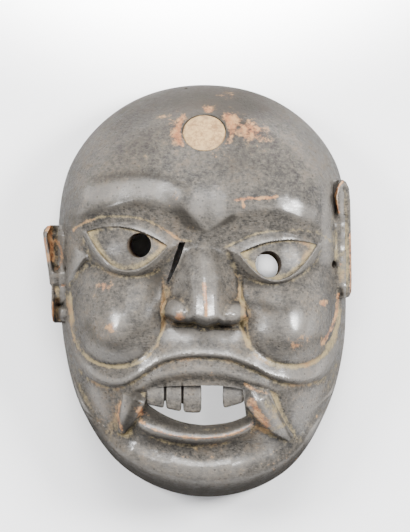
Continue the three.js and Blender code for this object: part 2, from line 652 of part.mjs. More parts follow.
function solidOf(points, triangles) {
  const geometry = new THREE.BufferGeometry();
  const coordinates = points.flatMap((p) => p.toArray());
  geometry.setAttribute('position', new THREE.Float32BufferAttribute(coordinates, 3));
  geometry.setIndex(triangles.flat());
  return toSolid(geometry);
}

function toGeometry(solid) {
  const mesh = solid.getMesh();
  const geometry = new THREE.BufferGeometry();
  geometry.setAttribute('position', new THREE.Float32BufferAttribute(mesh.vertProperties, mesh.numProp));
  geometry.setIndex(new THREE.Uint32BufferAttribute(mesh.triVerts, 1));
  geometry.computeVertexNormals();
  return geometry;
}

function prism(outline, low, high) {
  const geometry = new THREE.ExtrudeGeometry(new THREE.Shape(outline), {
    depth: high - low,
    bevelEnabled: false,
    steps: 1,
  });
  geometry.translate(0, 0, low);
  return toSolid(geometry);
}

function rod(from, to, radius, sides = ROUND_SIDES) {
  const [a, b] = [new THREE.Vector3(...from), new THREE.Vector3(...to)];
  const way = b.clone().sub(a);
  const geometry = new THREE.CylinderGeometry(radius, radius, way.length(), sides);
  const turn = new THREE.Quaternion().setFromUnitVectors(new THREE.Vector3(0, 1, 0), way.normalize());
  geometry.applyQuaternion(turn);
  const middle = a.add(b).multiplyScalar(0.5);
  geometry.translate(middle.x, middle.y, middle.z);
  return toSolid(geometry);
}

// Openings cut through the wall

const CUT_LOW = -5;
const CUT_HIGH = 135;

function mouthCutter() {
  const top = curveThrough(MOUTH_TOP, MOUTH_STEPS);
  const bottom = curveThrough(MOUTH_BOTTOM, MOUTH_STEPS);
  return prism([...top, ...bottom], CUT_LOW, CUT_HIGH);
}

function slitCutter() {
  return prism(SLIT.map(([x, y]) => new THREE.Vector2(x, y)), CUT_LOW, CUT_HIGH);
}

function pupilCutter({ at: [x, y], radius, lean: [dx, dy] }) {
  const face = FACE_DEPTH;
  const reach = face / 2;
  return rod([x - dx, y - dy, face + reach], [x + dx, y + dy, face - reach], radius);
}

// The seat of the forehead disc: its middle on the dome, and the way the wood faces there

function discSeat() {
  const [x, y] = DISC.at;
  const heightAt = (px, py) => {
    const share = Math.hypot(px, py) / outlineReach(Math.atan2(py, px));
    return faceHeight(px, py, share);
  };
  const step = DISC.radius / 2;
  const slopeX = (heightAt(x + step, y) - heightAt(x - step, y)) / (2 * step);
  const slopeY = (heightAt(x, y + step) - heightAt(x, y - step)) / (2 * step);
  const facing = new THREE.Vector3(-slopeX, -slopeY, 1).normalize();
  return { middle: new THREE.Vector3(x, y, heightAt(x, y)), facing };
}

function turnedToSeat(geometry) {
  const { middle, facing } = discSeat();
  geometry.applyQuaternion(new THREE.Quaternion().setFromUnitVectors(new THREE.Vector3(0, 1, 0), facing));
  geometry.translate(middle.x, middle.y, middle.z);
  return geometry;
}

function discGeometry() {
  const top = -DISC.sunk;
  const edge = top - DISC.crown;
  const profile = [
    new THREE.Vector2(0, top - DISC.thickness),
    new THREE.Vector2(DISC.radius, top - DISC.thickness),
    ...DISC.rings.map((ring) => new THREE.Vector2(DISC.radius * ring, top + (edge - top) * ring * ring)),
    new THREE.Vector2(0, top),
  ];
  return turnedToSeat(new THREE.LatheGeometry(profile, ROUND_SIDES));
}

function socketCutter() {
  const depth = DISC.sunk + DISC.thickness + TOUCH_GAP;
  const geometry = new THREE.CylinderGeometry(
    DISC.radius + TOUCH_GAP, DISC.radius + TOUCH_GAP, depth + SEAT_PROUD, ROUND_SIDES,
  );
  geometry.translate(0, (SEAT_PROUD - depth) / 2, 0);
  return toSolid(turnedToSeat(geometry));
}

// Teeth: flat plates that hang from the cut wood behind the upper lip

function toothSolid({ left, right, bottom, depths }) {
  const outline = [[left, TOOTH_ROOT], [left, bottom[0]], [right, bottom[1]], [right, TOOTH_ROOT]];
  return prism(outline.map(([x, y]) => new THREE.Vector2(x, y)), ...depths);
}

// Ears: a front skin with a rim and a bowl inside it, over a back skin that thickens to the root

// 1 between two places and 0 outside them, eased over both edges
function eased(low, high, at) {
  const rise = smoothStep(low - EAR.round, low + EAR.round, at);
  return rise * smoothStep(-high - EAR.round, -high + EAR.round, -at);
}

// Heights of the front and the back skin at a distance from the middle of the face
function earSkins(ear, far, y) {
  const crest = readTable(ear.crest, y);
  const out = far - readTable(ear.rim, y);
  const bowl = Math.sin(Math.PI * clamp(-out / ear.bowl, 0, 1) ** EAR.bowlPower);
  let front = crest - ear.outerFall * Math.sqrt(Math.max(out, 0) ** 2 + EAR.crestEdge);
  front -= readTable(ear.bowlDrop, y) * bowl;
  for (const block of ear.blocks) {
    front += block.rise * eased(...block.x, far) * eased(...block.y, y);
  }
  const back = crest - EAR.thickness - EAR.backSlope * (readTable(ear.edge, y) - far);
  return [front, Math.min(back, front - EAR.leastWall)];
}

function earSolid(ear) {
  const bottom = ear.edge[0][0];
  const height = ear.edge.at(-1)[0] - bottom;
  const points = [];
  for (let row = 0; row <= EAR_ROWS; row += 1) {
    const y = bottom + (height * (1 - Math.cos((Math.PI * row) / EAR_ROWS))) / 2;
    const [edge, rim] = [ear.edge, ear.rim].map((table) => readTable(table, y));
    const inner = Math.max(rim - ear.bowl, ear.root + EAR.leastWall);
    const crest = Math.min(rim, edge - EAR.leastWall);
    const ways = [ear.root, ...EAR_WAYS.map((share) => inner + (crest - inner) * share), edge];
    const skins = ways.map((far) => [far, ...earSkins(ear, far, y)]);
    points.push(...skins.map(([far, front]) => new THREE.Vector3(ear.side * far, y, front)));
    points.push(...skins.reverse().map(([far, , back]) => new THREE.Vector3(ear.side * far, y, back)));
  }
  const ring = points.length / (EAR_ROWS + 1);
  const triangles = [];
  const face = (a, b, c) => triangles.push(ear.side > 0 ? [a, c, b] : [a, b, c]);
  for (let k = 0; k < EAR_ROWS * ring; k += 1) {
    const next = (k + 1) % ring === 0 ? k + 1 - ring : k + 1;
    face(k, k + ring, next + ring);
    face(k, next + ring, next);
  }
  const last = EAR_ROWS * ring;
  for (let k = 0; k < ring / 2 - 1; k += 1) {
    const across = ring - 1 - k;
    face(k, k + 1, across);
    face(k + 1, across - 1, across);
    face(last + k, last + across, last + k + 1);
    face(last + k + 1, last + across, last + across - 1);
  }
  return solidOf(points, triangles);
}

function maskSolid() {
  let wood = shellSolid();
  for (const ear of [LEFT_EAR, RIGHT_EAR]) wood = wood.add(earSolid(ear));
  const cutters = [
    mouthCutter(),
    slitCutter(),
    ...PUPILS.map(pupilCutter),
    ...CORD_HOLES.map(({ from, to, radius }) => rod(from, to, radius, CORD_HOLE_SIDES)),
    socketCutter(),
  ];
  for (const cutter of cutters) wood = wood.subtract(cutter);
  for (const tooth of TEETH) wood = wood.add(toothSolid(tooth));
  return wood;
}

// Finish and assembly

const patinatedWood = new THREE.MeshStandardMaterial({ color: 0x6f6a65, roughness: 0.5, metalness: 0 });
const paleInlay = new THREE.MeshStandardMaterial({ color: 0xc9ab8b, roughness: 0.9, metalness: 0 });

const mask = new THREE.Mesh(toGeometry(maskSolid()), patinatedWood);
mask.name = 'mask';

const inlay = new THREE.Mesh(discGeometry(), paleInlay);
inlay.name = 'third_eye_inlay';

// The middle of the lying mask's footprint is the origin
const whole = new THREE.Group();
whole.add(mask, inlay);
const box = new THREE.Box3().setFromObject(whole);
const centre = box.getCenter(new THREE.Vector3());
whole.position.set(-centre.x, -centre.y, -box.min.z);

const part = new THREE.Group();
part.add(whole);

export default part;
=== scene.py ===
"""A carved wooden mask of a fanged, wrathful face, lying on its flat back rim.

The face is a height over a dome, worked out from the lines of its brows, lids, cheeks, folds and
lips. It is laid on a square grid that is drawn out to the outline, thinned to the triangles that
the carving needs, and then cut through at the mouth, the eyes and the cord holes.

Lengths in the carving classes are millimetres from the middle of the nose. The meshes are metres.
"""
import logging
import math
from dataclasses import dataclass, field
from enum import Enum
from typing import Sequence

import bpy
import numpy as np
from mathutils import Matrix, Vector


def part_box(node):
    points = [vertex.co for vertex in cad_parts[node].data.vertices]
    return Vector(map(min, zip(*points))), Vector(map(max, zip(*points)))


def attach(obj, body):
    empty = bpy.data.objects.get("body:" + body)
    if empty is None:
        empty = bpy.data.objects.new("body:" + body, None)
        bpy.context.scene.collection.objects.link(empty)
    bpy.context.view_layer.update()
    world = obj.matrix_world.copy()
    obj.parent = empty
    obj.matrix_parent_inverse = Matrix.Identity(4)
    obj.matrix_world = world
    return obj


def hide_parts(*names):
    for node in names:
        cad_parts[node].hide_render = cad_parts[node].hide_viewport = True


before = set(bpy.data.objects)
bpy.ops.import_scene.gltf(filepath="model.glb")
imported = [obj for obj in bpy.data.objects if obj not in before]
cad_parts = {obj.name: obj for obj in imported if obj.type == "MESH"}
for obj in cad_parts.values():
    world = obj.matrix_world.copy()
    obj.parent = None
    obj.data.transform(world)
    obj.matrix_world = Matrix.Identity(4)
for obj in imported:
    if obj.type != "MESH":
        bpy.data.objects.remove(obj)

logging.basicConfig(level=logging.INFO, format="%(message)s")
LOG = logging.getLogger("mask")

Array = np.ndarray
Point = tuple[float, float]
Colour = tuple[float, float, float, float]

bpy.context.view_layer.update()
ROOT = "root"
SHARP_CARVING = 38.0
SHARP_INLAY = 50.0


# Smooth steps, blends and noise

def smooth_step(low: float, high: float, x: Array) -> Array:
    """Ease from 0 at low to 1 at high: t squared times three less twice t."""
    t = np.clip((x - low) / (high - low), 0.0, 1.0)
    return t * t * (3.0 - 2.0 * t)


def smooth_max(a: Array, b: Array, blend: float) -> Array:
    """The larger of a and b, rounded over a difference of blend."""
    t = np.clip(0.5 + 0.5 * (a - b) / blend, 0.0, 1.0)
    return b + (a - b) * t + blend * t * (1.0 - t)


def smooth_min(a: Array, b: Array, blend: float) -> Array:
    """The smaller of a and b, rounded over a difference of blend."""
    return -smooth_max(-a, -b, blend)


def bell(x: Array, y: Array, at: Point, width: float, height: float) -> Array:
    """A bell of height 1 over a point: e to minus the squared distance in half widths."""
    return np.exp(-((x - at[0]) / width) ** 2 - ((y - at[1]) / height) ** 2)


def window(low: float, high: float, soft: float, x: Array) -> Array:
    """1 between two places and 0 outside them, eased over a distance to each side of both."""
    return smooth_step(low - soft, low + soft, x) * (1.0 - smooth_step(high - soft, high + soft, x))


def read_pairs(at: Array, pairs: Sequence[Point]) -> Array:
    """Value at a place, on the straight lines between pairs of a place and a value."""
    return np.interp(at, *zip(*sorted(pairs)))


def level_points(x: Array, y: Array) -> Array:
    """Rows of x, y and 0, one for each place."""
    return np.stack([x.ravel(), y.ravel(), 0.0 * x.ravel()], 1)


def grid_normals(points: Array) -> Array:
    """Unit normals of a grid of points, as rows: the cross product of its two gradients."""
    across, along = (np.gradient(points, axis=axis).reshape(-1, 3) for axis in (1, 0))
    facing = np.cross(across, along)
    return facing / np.maximum(np.linalg.norm(facing, axis=1, keepdims=True), 1e-9)


class LatticeNoise:
    """Value noise: random values on a cubic lattice, eased between its corners."""

    SIZE = 32

    def __init__(self, seed: int) -> None:
        """Fill the lattice.

        Args:
            seed: start of the random draws.
        """
        self.values = np.random.default_rng(seed).uniform(-1.0, 1.0, (self.SIZE,) * 3)

    def at(self, points: Array, wavelength: float) -> Array:
        """Noise between -1 and 1 at points.

        Args:
            points: rows of x, y and z.
            wavelength: spacing of the lattice.

        Returns:
            One value for each row: the eight corners weighted by eased distances.
        """
        scaled = points / wavelength
        cell = np.floor(scaled).astype(int)
        t = scaled - cell
        t = t * t * (3.0 - 2.0 * t)
        total = np.zeros(len(points))
        for corner in np.ndindex(2, 2, 2):
            weight = np.prod(np.where(np.array(corner) == 1, t, 1.0 - t), axis=1)
            i, j, k = ((cell + corner) % self.SIZE).T
            total += weight * self.values[i, j, k]
        return total

    def layered(self, points: Array, wavelength: float, layers: int) -> Array:
        """Sum of noises, each at half the wavelength and half the height of the one before."""
        return sum(self.at(points + 17.0 * n, wavelength / 2 ** n) / 2 ** n for n in range(layers))


# Lines of the carving

@dataclass
class CarvedLine:
    """A smooth line through a few points of the face, from the viewer's left to right.

    Attributes:
        points: places that the line goes through.
        heights: pairs of a share of the line and the height there, for crests.
    """

    points: Sequence[Point]
    heights: Sequence[tuple[float, float]] = ((0.0, 1.0), (1.0, 1.0))
    steps: int = 5

    def curve(self) -> Array:
        """Catmull-Rom curve: each span is the cubic of its two ends and their neighbours."""
        p = np.asarray(self.points, float)
        p = np.vstack([p[:1], p, p[-1:]])
        a, b, c, d = p[:-3], p[1:-2], p[2:-1], p[3:]
        t = (np.arange(self.steps) / self.steps)[None, :, None]
        a, b, c, d = (q[:, None, :] for q in (a, b, c, d))
        cubic = (3 * b - a - 3 * c + d) * t ** 3 + (2 * a - 5 * b + 4 * c - d) * t ** 2
        spans = 0.5 * (2 * b + (c - a) * t + cubic)
        return np.vstack([spans.reshape(-1, 2), p[-1:]])

    def measure(self, x: Array, y: Array) -> tuple[Array, Array]:
        """Distance from the line and share of its run, for each point.

        Args:
            x: places across the face.
            y: places up the face.

        Returns:
            The distance, positive on the left of the line's run, and the share from 0 to 1.
        """
        curve = self.curve()
        spans = np.diff(curve, axis=0)
        lengths = np.hypot(spans[:, 0], spans[:, 1])
        starts = np.concatenate([[0.0], np.cumsum(lengths)])
        best = np.full(x.shape, np.inf)
        side = np.zeros(x.shape)
        share = np.zeros(x.shape)
        for (ax, ay), (ex, ey), length, start in zip(curve, spans, lengths, starts):
            t = np.clip(((x - ax) * ex + (y - ay) * ey) / length ** 2, 0.0, 1.0)
            gap = np.hypot(x - ax - t * ex, y - ay - t * ey)
            nearer = gap < best
            best = np.where(nearer, gap, best)
            left = ex * (y - ay) - ey * (x - ax) >= 0.0
            side = np.where(nearer, np.where(left, gap, -gap), side)
            share = np.where(nearer, (start + t * length) / starts[-1], share)
        return side, share

    def crest(self, share: Array) -> Array:
        """Height of the crest at a share of the run, read from the pairs."""
        return read_pairs(share, self.heights)


@dataclass
class Brow:
    """One brow: a crisp ridge that stands over the forehead, with a slanting plane below it.

    Attributes:
        line: the ridge.
        rises: pairs of a place across the face and the share of the ridge's height there.
        forehead: height of the forehead above it.
        ridge: how far the ridge stands over the forehead.
        roll: how far up the forehead the ridge's roll goes.
        slope: fall of the underside.
        depth: where the underside levels out.
    """

    line: CarvedLine
    rises: Sequence[Point]
    forehead: float = 6.5
    ridge: float = 3.6
    roll: float = 9.0
    slope: float = 0.62
    depth: float = 15.0
    edge: float = 1.1

    def relief(self, x: Array, y: Array) -> Array:
        """Forehead and a rolled ridge above the line, a plane that levels out below it."""
        side, _ = self.line.measure(x, y)
        up = np.where(y < 30.0, -np.abs(side), side)
        ridge = self.ridge * read_pairs(x, self.rises)
        below = np.clip(-up, 0.0, None)
        fall = self.slope * (np.sqrt(below ** 2 + self.edge ** 2) - self.edge)
        fall = self.depth * np.tanh(fall / self.depth)
        above = np.clip(up, 0.0, None)
        rise = np.where(up > 0.0, ridge * np.exp(-(above / self.roll) ** 1.6), ridge)
        return self.forehead + rise - fall


@dataclass
class GoggleEye:
    """One bulging eye: two bowed lids round a sunk ball, with a steep wall under the lower lid.

    Attributes:
        start: left corner of the lid opening.
        end: right corner of the lid opening.
        upper: how far the upper lid bows up from the line between the corners.
        lower: how far the lower lid bows down from it.
        upper_skew: how far the upper bow leans along the line.
        lower_skew: how far the lower bow leans along the line.
    """

    start: Point
    end: Point
    upper: float
    lower: float
    upper_skew: float
    lower_skew: float
    band: float = 6.0
    upper_rim: float = 2.0
    lower_rim: float = 5.5
    rim_width: float = 0.5
    wall: float = 11.0
    wall_width: float = 10.0
    recess: float = 2.6
    bulge: float = 1.7
    ball_half: float = 15.0
    ball_narrow: float = 1.05
    ball_drop: float = 6.5
    band_fall: float = 1.6
    outer_slope: float = 1.4
    foot_slope: float = 0.6

    def local(self, x: Array, y: Array) -> tuple[Array, Array, float]:
        """Place along the corner line in half lengths, and height over it."""
        start, end = np.array(self.start), np.array(self.end)
        middle = (start + end) / 2.0
        half = float(np.hypot(*(end - start))) / 2.0
        ex, ey = (end - start) / (2.0 * half)
        u = ((x - middle[0]) * ex + (y - middle[1]) * ey) / half
        v = -(x - middle[0]) * ey + (y - middle[1]) * ex
        return u, v, half

    def distances(self, x: Array, y: Array) -> tuple[Array, Array]:
        """Distances over the upper lid line and under the lower one, each a leaning parabola."""
        u, v, half = self.local(x, y)

        def bow(depth: float, skew: float) -> tuple[Array, Array]:
            lean = u - skew * (1.0 - u * u)
            slope = -2.0 * depth * lean * (1.0 + 2.0 * skew * u) / half
            return depth * (1.0 - lean * lean), np.sqrt(1.0 + slope * slope)

        top, top_slant = bow(self.upper, self.upper_skew)
        low, low_slant = bow(self.lower, self.lower_skew)
        return (v - top) / top_slant, (-v - low) / low_slant

    def relief(self, x: Array, y: Array) -> Array:
        """Rim height, less the band or wall outside it, or less the sunk ball inside it."""
        above, below = self.distances(x, y)
        u, v, _ = self.local(x, y)
        out = np.maximum(above, below)
        inside = out < 0.0
        share = below / np.minimum(above + below, -1e-6)
        edge = smooth_step(-2.0, 2.0, above - below)
        share = np.where(inside, share, edge)
        rim = self.upper_rim * share + self.lower_rim * (1.0 - share)
        away = (u * self.ball_narrow) ** 2 + ((v + self.ball_drop) / self.ball_half) ** 2
        ball = np.clip(1.0 - away, 0.0, 1.0)
        sunk = self.recess * smooth_step(0.0, 0.9, -out) - self.bulge * ball * smooth_step(0.5, 2.0, -out)
        band = self.band_fall * np.clip(out, 0.0, self.band) / self.band
        band += self.outer_slope * np.clip(out - self.band, 0.0, None)
        drop = np.clip((out - self.rim_width) / self.wall_width, 0.0, 1.0)
        wall = self.wall * np.sin(math.pi / 2.0 * drop)
        wall += self.foot_slope * np.clip(out - self.wall_width, 0.0, None)
        return rim - np.where(inside, sunk, band * edge + wall * (1.0 - edge))


@dataclass
class Cheek:
    """One cheek: a ball that stands out from a deep crease and runs up under the eye.

    Attributes:
        at: middle of the ball.
        half_width: from the middle to the side creases.
        half_height: from the middle to the lower crease.
        peak: the highest place.
    """

    at: Point
    half_width: float
    half_height: float
    peak: Point
    height: float = 14.0
    fall: float = 15.8
    steepness: float = 1.6
    roundness: float = 2.3
    upper_length: float = 1.25
    under_eye: float = 0.25
    crease: float = 3.0
    crease_from: float = 0.95

    def place(self, x: Array, y: Array) -> tuple[Array, Array]:
        """Place in half widths and half heights from the middle."""
        return (x - self.at[0]) / self.half_width, (y - self.at[1]) / self.half_height

    def reach(self, u: Array, v: Array) -> Array:
        """Reach of a rounded square: the root of the sum of equal powers."""
        n = self.roundness
        return (np.abs(u) ** n + np.abs(v) ** n) ** (1.0 / n)

    def edge(self, x: Array, y: Array) -> Array:
        """Share of the way from the middle to the crease."""
        u, v = self.place(x, y)
        return self.reach(u, np.where(v > 0.0, self.under_eye * v, v))

    def relief(self, x: Array, y: Array) -> Array:
        """Peak height less a rounded fall that leans to the peak, and less the crease."""
        u, v = self.place(x, y)
        edge = self.edge(x, y)
        lean = 1.0 - np.clip(edge, 0.0, 1.0) ** 2
        peak_u, peak_v = self.place(*self.peak)
        u = u - peak_u * lean
        v = v - peak_v * lean
        fall = self.reach(u, np.where(v > 0.0, v / self.upper_length, v)) ** self.steepness
        crease = self.crease * np.clip((edge - self.crease_from) / 0.1, 0.0, 3.0) ** 2
        return self.height - self.fall * fall - crease


@dataclass
class Nose:
    """The nose: a wedge with two narrow facets by its ridge, two wings and a cut-off bottom.

    Attributes:
        top: height of the root.
        length: from the root to the tip.
        ridge: heights of the ridge, by share of the length.
        halves: half widths of the wedge, by share of the length.
        lean: places of the ridge across the face, by share of the length.
        bottom: heights of the lower edge, by place across the face.
    """

    top: float = 35.0
    length: float = 54.0
    ridge: Sequence[Point] = ((0.0, 2.6), (0.05, 4.0), (0.14, 5.6), (0.3, 12.0), (0.5, 18.6), (0.7, 22.2),
                              (0.85, 24.3), (1.1, 26.0))
    halves: Sequence[Point] = ((0.0, 10.0), (0.17, 14.0), (0.5, 22.0), (0.9, 25.0), (1.1, 24.5))
    lean: Sequence[Point] = ((0.0, -1.5), (1.0, 0.5))
    bottom: Sequence[Point] = ((-24.0, -16.5), (-19.0, -18.8), (-14.5, -19.6), (-10.0, -18.6), (-7.0, -17.2),
                               (-3.0, -18.8), (1.0, -19.4), (5.5, -18.6), (8.5, -18.2), (12.0, -20.4),
                               (16.5, -21.4), (20.5, -20.4), (24.0, -18.0))
    wings: Sequence[Point] = ((-15.4, -14.6), (16.4, -16.2))
    wing_height: float = 16.2
    wing_fall: float = 7.5
    wing_half: Point = (8.4, 7.2)
    base: float = -5.0
    facet_slope: float = 0.42
    side_gain: float = 1.22
    blunt: Point = (0.9, 3.6)
    facet_join: Point = (1.0, 5.0)
    wing_join: float = 2.6
    bottom_slope: float = 5.2
    top_slope: float = 0.8
    nostrils: Sequence[Point] = ((-12.8, -22.0), (9.5, -23.8))
    nostril_half: Point = (6.5, 1.6)
    nostril_depth: float = 5.0

    def relief(self, x: Array, y: Array) -> Array:
        """Facets beside the ridge, steeper planes beyond them, two lobes, and the cut bottom."""
        down = np.clip((self.top - y) / self.length, 0.0, 1.1)
        ridge, half, lean = (read_pairs(down, pairs) for pairs in (self.ridge, self.halves, self.lean))
        blunt = self.blunt[0] + self.blunt[1] * (1.0 - smooth_step(0.0, 0.55, down))
        across = np.sqrt((x - lean) ** 2 + blunt ** 2) - 0.5 * blunt
        facet = ridge - self.facet_slope * across
        plane = self.base + self.side_gain * (ridge - self.base) * (1.0 - across / half)
        join = self.facet_join[0] + self.facet_join[1] * (1.0 - smooth_step(0.0, 0.8, down))
        height = smooth_min(facet, plane, join)
        for wx, wy in self.wings:
            gap = ((x - wx) / self.wing_half[0]) ** 2 + ((y - wy) / self.wing_half[1]) ** 2
            height = smooth_max(height, self.wing_height - self.wing_fall * gap, self.wing_join)
        bottom = read_pairs(x, self.bottom)
        cut = self.bottom_slope * smooth_max(bottom - y, 0.0, 2.0)
        return height - (cut + self.top_slope * np.clip(y - self.top, 0.0, None))

    def pits(self, x: Array, y: Array) -> Array:
        """Two short pits under the wings, flat ended along x and bell shaped along y."""
        half_x, half_y = self.nostril_half
        depth = np.zeros(x.shape)
        for nx, ny in self.nostrils:
            depth += self.nostril_depth * np.exp(-((x - nx) / half_x) ** 4 - ((y - ny) / half_y) ** 2)
        return depth


@dataclass
class Step:
    """A plateau that ends at a line: raised on the left of its run and sunk on its right."""

    line: CarvedLine
    rise: float
    rise_width: float
    sink: float
    sink_width: float
    end_share: float = 0.15
    blend: Point = (-2.6, 2.0)

    def relief(self, x: Array, y: Array) -> Array:
        """Rise that fades away from the line on one side, and a dip on the other."""
        side, share = self.line.measure(x, y)
        ends = smooth_step(0.0, self.end_share, share) * (1.0 - smooth_step(1.0 - self.end_share, 1.0, share))
        high = self.rise * np.exp(-(side / self.rise_width) ** 2)
        low = -self.sink * np.exp(-(side / self.sink_width) ** 2)
        blend = smooth_step(*self.blend, side)
        return ends * (high * blend + low * (1.0 - blend))


@dataclass
class Fang:
    """A fang: a wedge with two planes that comes from under the lip and tapers to its tip.

    Attributes:
        line: the ridge between its planes.
        half: half widths at its root and at its tip.
        rise: height of the ridge.
    """

    line: CarvedLine
    half: Point
    rise: float
    slope: float = 0.55
    edge_slope: float = 2.6
    taper: float = 1.2
    blunt: float = 0.5

    def relief(self, x: Array, y: Array) -> Array:
        """Crest height less a fall to each side, ending in a steep edge."""
        side, along = self.line.measure(x, y)
        half = self.half[0] + (self.half[1] - self.half[0]) * along ** self.taper
        across = np.sqrt(side ** 2 + self.blunt)
        crest = self.rise * self.line.crest(along)
        return crest - self.slope * across - self.edge_slope * np.clip(across - half, 0.0, None)


@dataclass
class Chin:
    """The chin: a bent boss that faces forward and drops to the rim in a steep wall.

    Attributes:
        line: crest of the boss, with its height over the rim.
        slope_up: fall of the boss towards the lip.
        wall: how far up the squarer wall under it would go.
    """

    line: CarvedLine = field(default_factory=lambda: CarvedLine(
        ((-63, -91), (-48, -102), (-29, -111.5), (0, -116.5), (28, -111.5), (44, -102), (57, -91)),
        ((0.0, 46.0), (0.15, 58.0), (0.35, 65.5), (0.5, 66.5), (0.65, 65.5), (0.85, 58.0), (1.0, 46.0))))
    slope_up: float = 0.46
    round_down: float = 0.035
    edge: float = 3.0
    corner: float = 5.0
    least_corner: float = 0.01
    sunk: float = 1.0
    edge_share: float = 0.08
    wall: float = 84.0
    wall_flatness: float = 9.0
    wall_squareness: float = 2.3

    def height(self, x: Array, y: Array, share: Array) -> Array:
        """Crest height less a slope above it and a curve below it, under a wall closed at the rim."""
        side, along = self.line.measure(x, y)
        above = self.slope_up * (np.hypot(side, self.edge) - self.edge)
        fall = np.where(side > 0.0, above, self.round_down * side ** 2)
        boss = self.line.crest(along) - fall
        left = np.clip(1.0 - share ** self.wall_flatness, 0.0, 1.0)
        wall = self.wall * left ** (1.0 / self.wall_squareness)
        inside = smooth_step(0.0, self.edge_share, 1.0 - share)
        return smooth_min(boss, wall, self.corner * inside + self.least_corner) - self.sunk + inside


@dataclass
class Outline:
    """The outline of the face: how far it reaches from the middle of the nose, turn by turn."""

    reaches: Sequence[float] = (
        92.6, 99.2, 120.4, 131.8, 134.6, 132.2, 121.8, 104.4,
        95.6, 99.6, 113.0, 129.2, 135.9, 131.0, 112.4, 98.4)

    def reach(self, angle: Array) -> Array:
        """Closed Catmull-Rom curve through the reaches, at an angle from +X."""
        values = np.array(self.reaches)
        count = len(values)
        place = (angle / (2.0 * math.pi) * count) % count
        i = np.floor(place).astype(int)
        t = place - i
        a, b, c, d = (values[(i + step) % count] for step in (-1, 0, 1, 2))
        bend = (2 * a - 5 * b + 4 * c - d) * t * t + (3 * b - a - 3 * c + d) * t ** 3
        return 0.5 * (2 * b + (c - a) * t + bend)


@dataclass
class Dome:
    """A squared dome over the outline, for the face or for its hollow.

    Attributes:
        depth: height in the middle.
        inset: how far inside the outline it starts.
    """

    depth: float
    inset: float
    flatness: float = 3.4
    squareness: float = 2.3
    outline: Outline = field(default_factory=Outline)

    def height(self, share: Array) -> Array:
        """Depth times the rounded fall to nothing at a share of 1."""
        return self.depth * np.clip(1.0 - share ** self.flatness, 0.0, 1.0) ** (1.0 / self.squareness)

    def even_share(self, run: Array) -> Array:
        """Share of the reach at which a share of the dome's own length has been run."""
        shares = 1.0 - (1.0 - np.linspace(0.0, 1.0, 400)) ** 2
        steps = np.hypot(np.diff(shares) * 115.0, np.diff(self.height(shares)))
        runs = np.concatenate([[0.0], np.cumsum(steps)])
        return np.interp(run, runs / runs[-1], shares)

    def spread(self, cells: int) -> tuple[Array, Array, Array]:
        """Square grid drawn out to the outline.

        Args:
            cells: cells along each side of the square.

        Returns:
            x, y and the share of the reach at each grid point, as square arrays. The square
            goes to a disc by x = u sqrt(1 - v v / 2), y = v sqrt(1 - u u / 2).
        """
        line = np.linspace(-1.0, 1.0, cells + 1)
        u, v = np.meshgrid(line, line)
        a = u * np.sqrt(1.0 - v * v / 2.0)
        b = v * np.sqrt(1.0 - u * u / 2.0)
        angle = np.arctan2(b, a)
        share = self.even_share(np.minimum(np.hypot(a, b), 1.0))
        reach = self.outline.reach(angle) - self.inset
        return np.cos(angle) * share * reach, np.sin(angle) * share * reach, share

    def share_at(self, x: Array, y: Array) -> Array:
        """Share of the reach at a place, capped at the edge."""
        reach = self.outline.reach(np.arctan2(y, x)) - self.inset
        return np.clip(np.hypot(x, y) / reach, 0.0, 1.0)


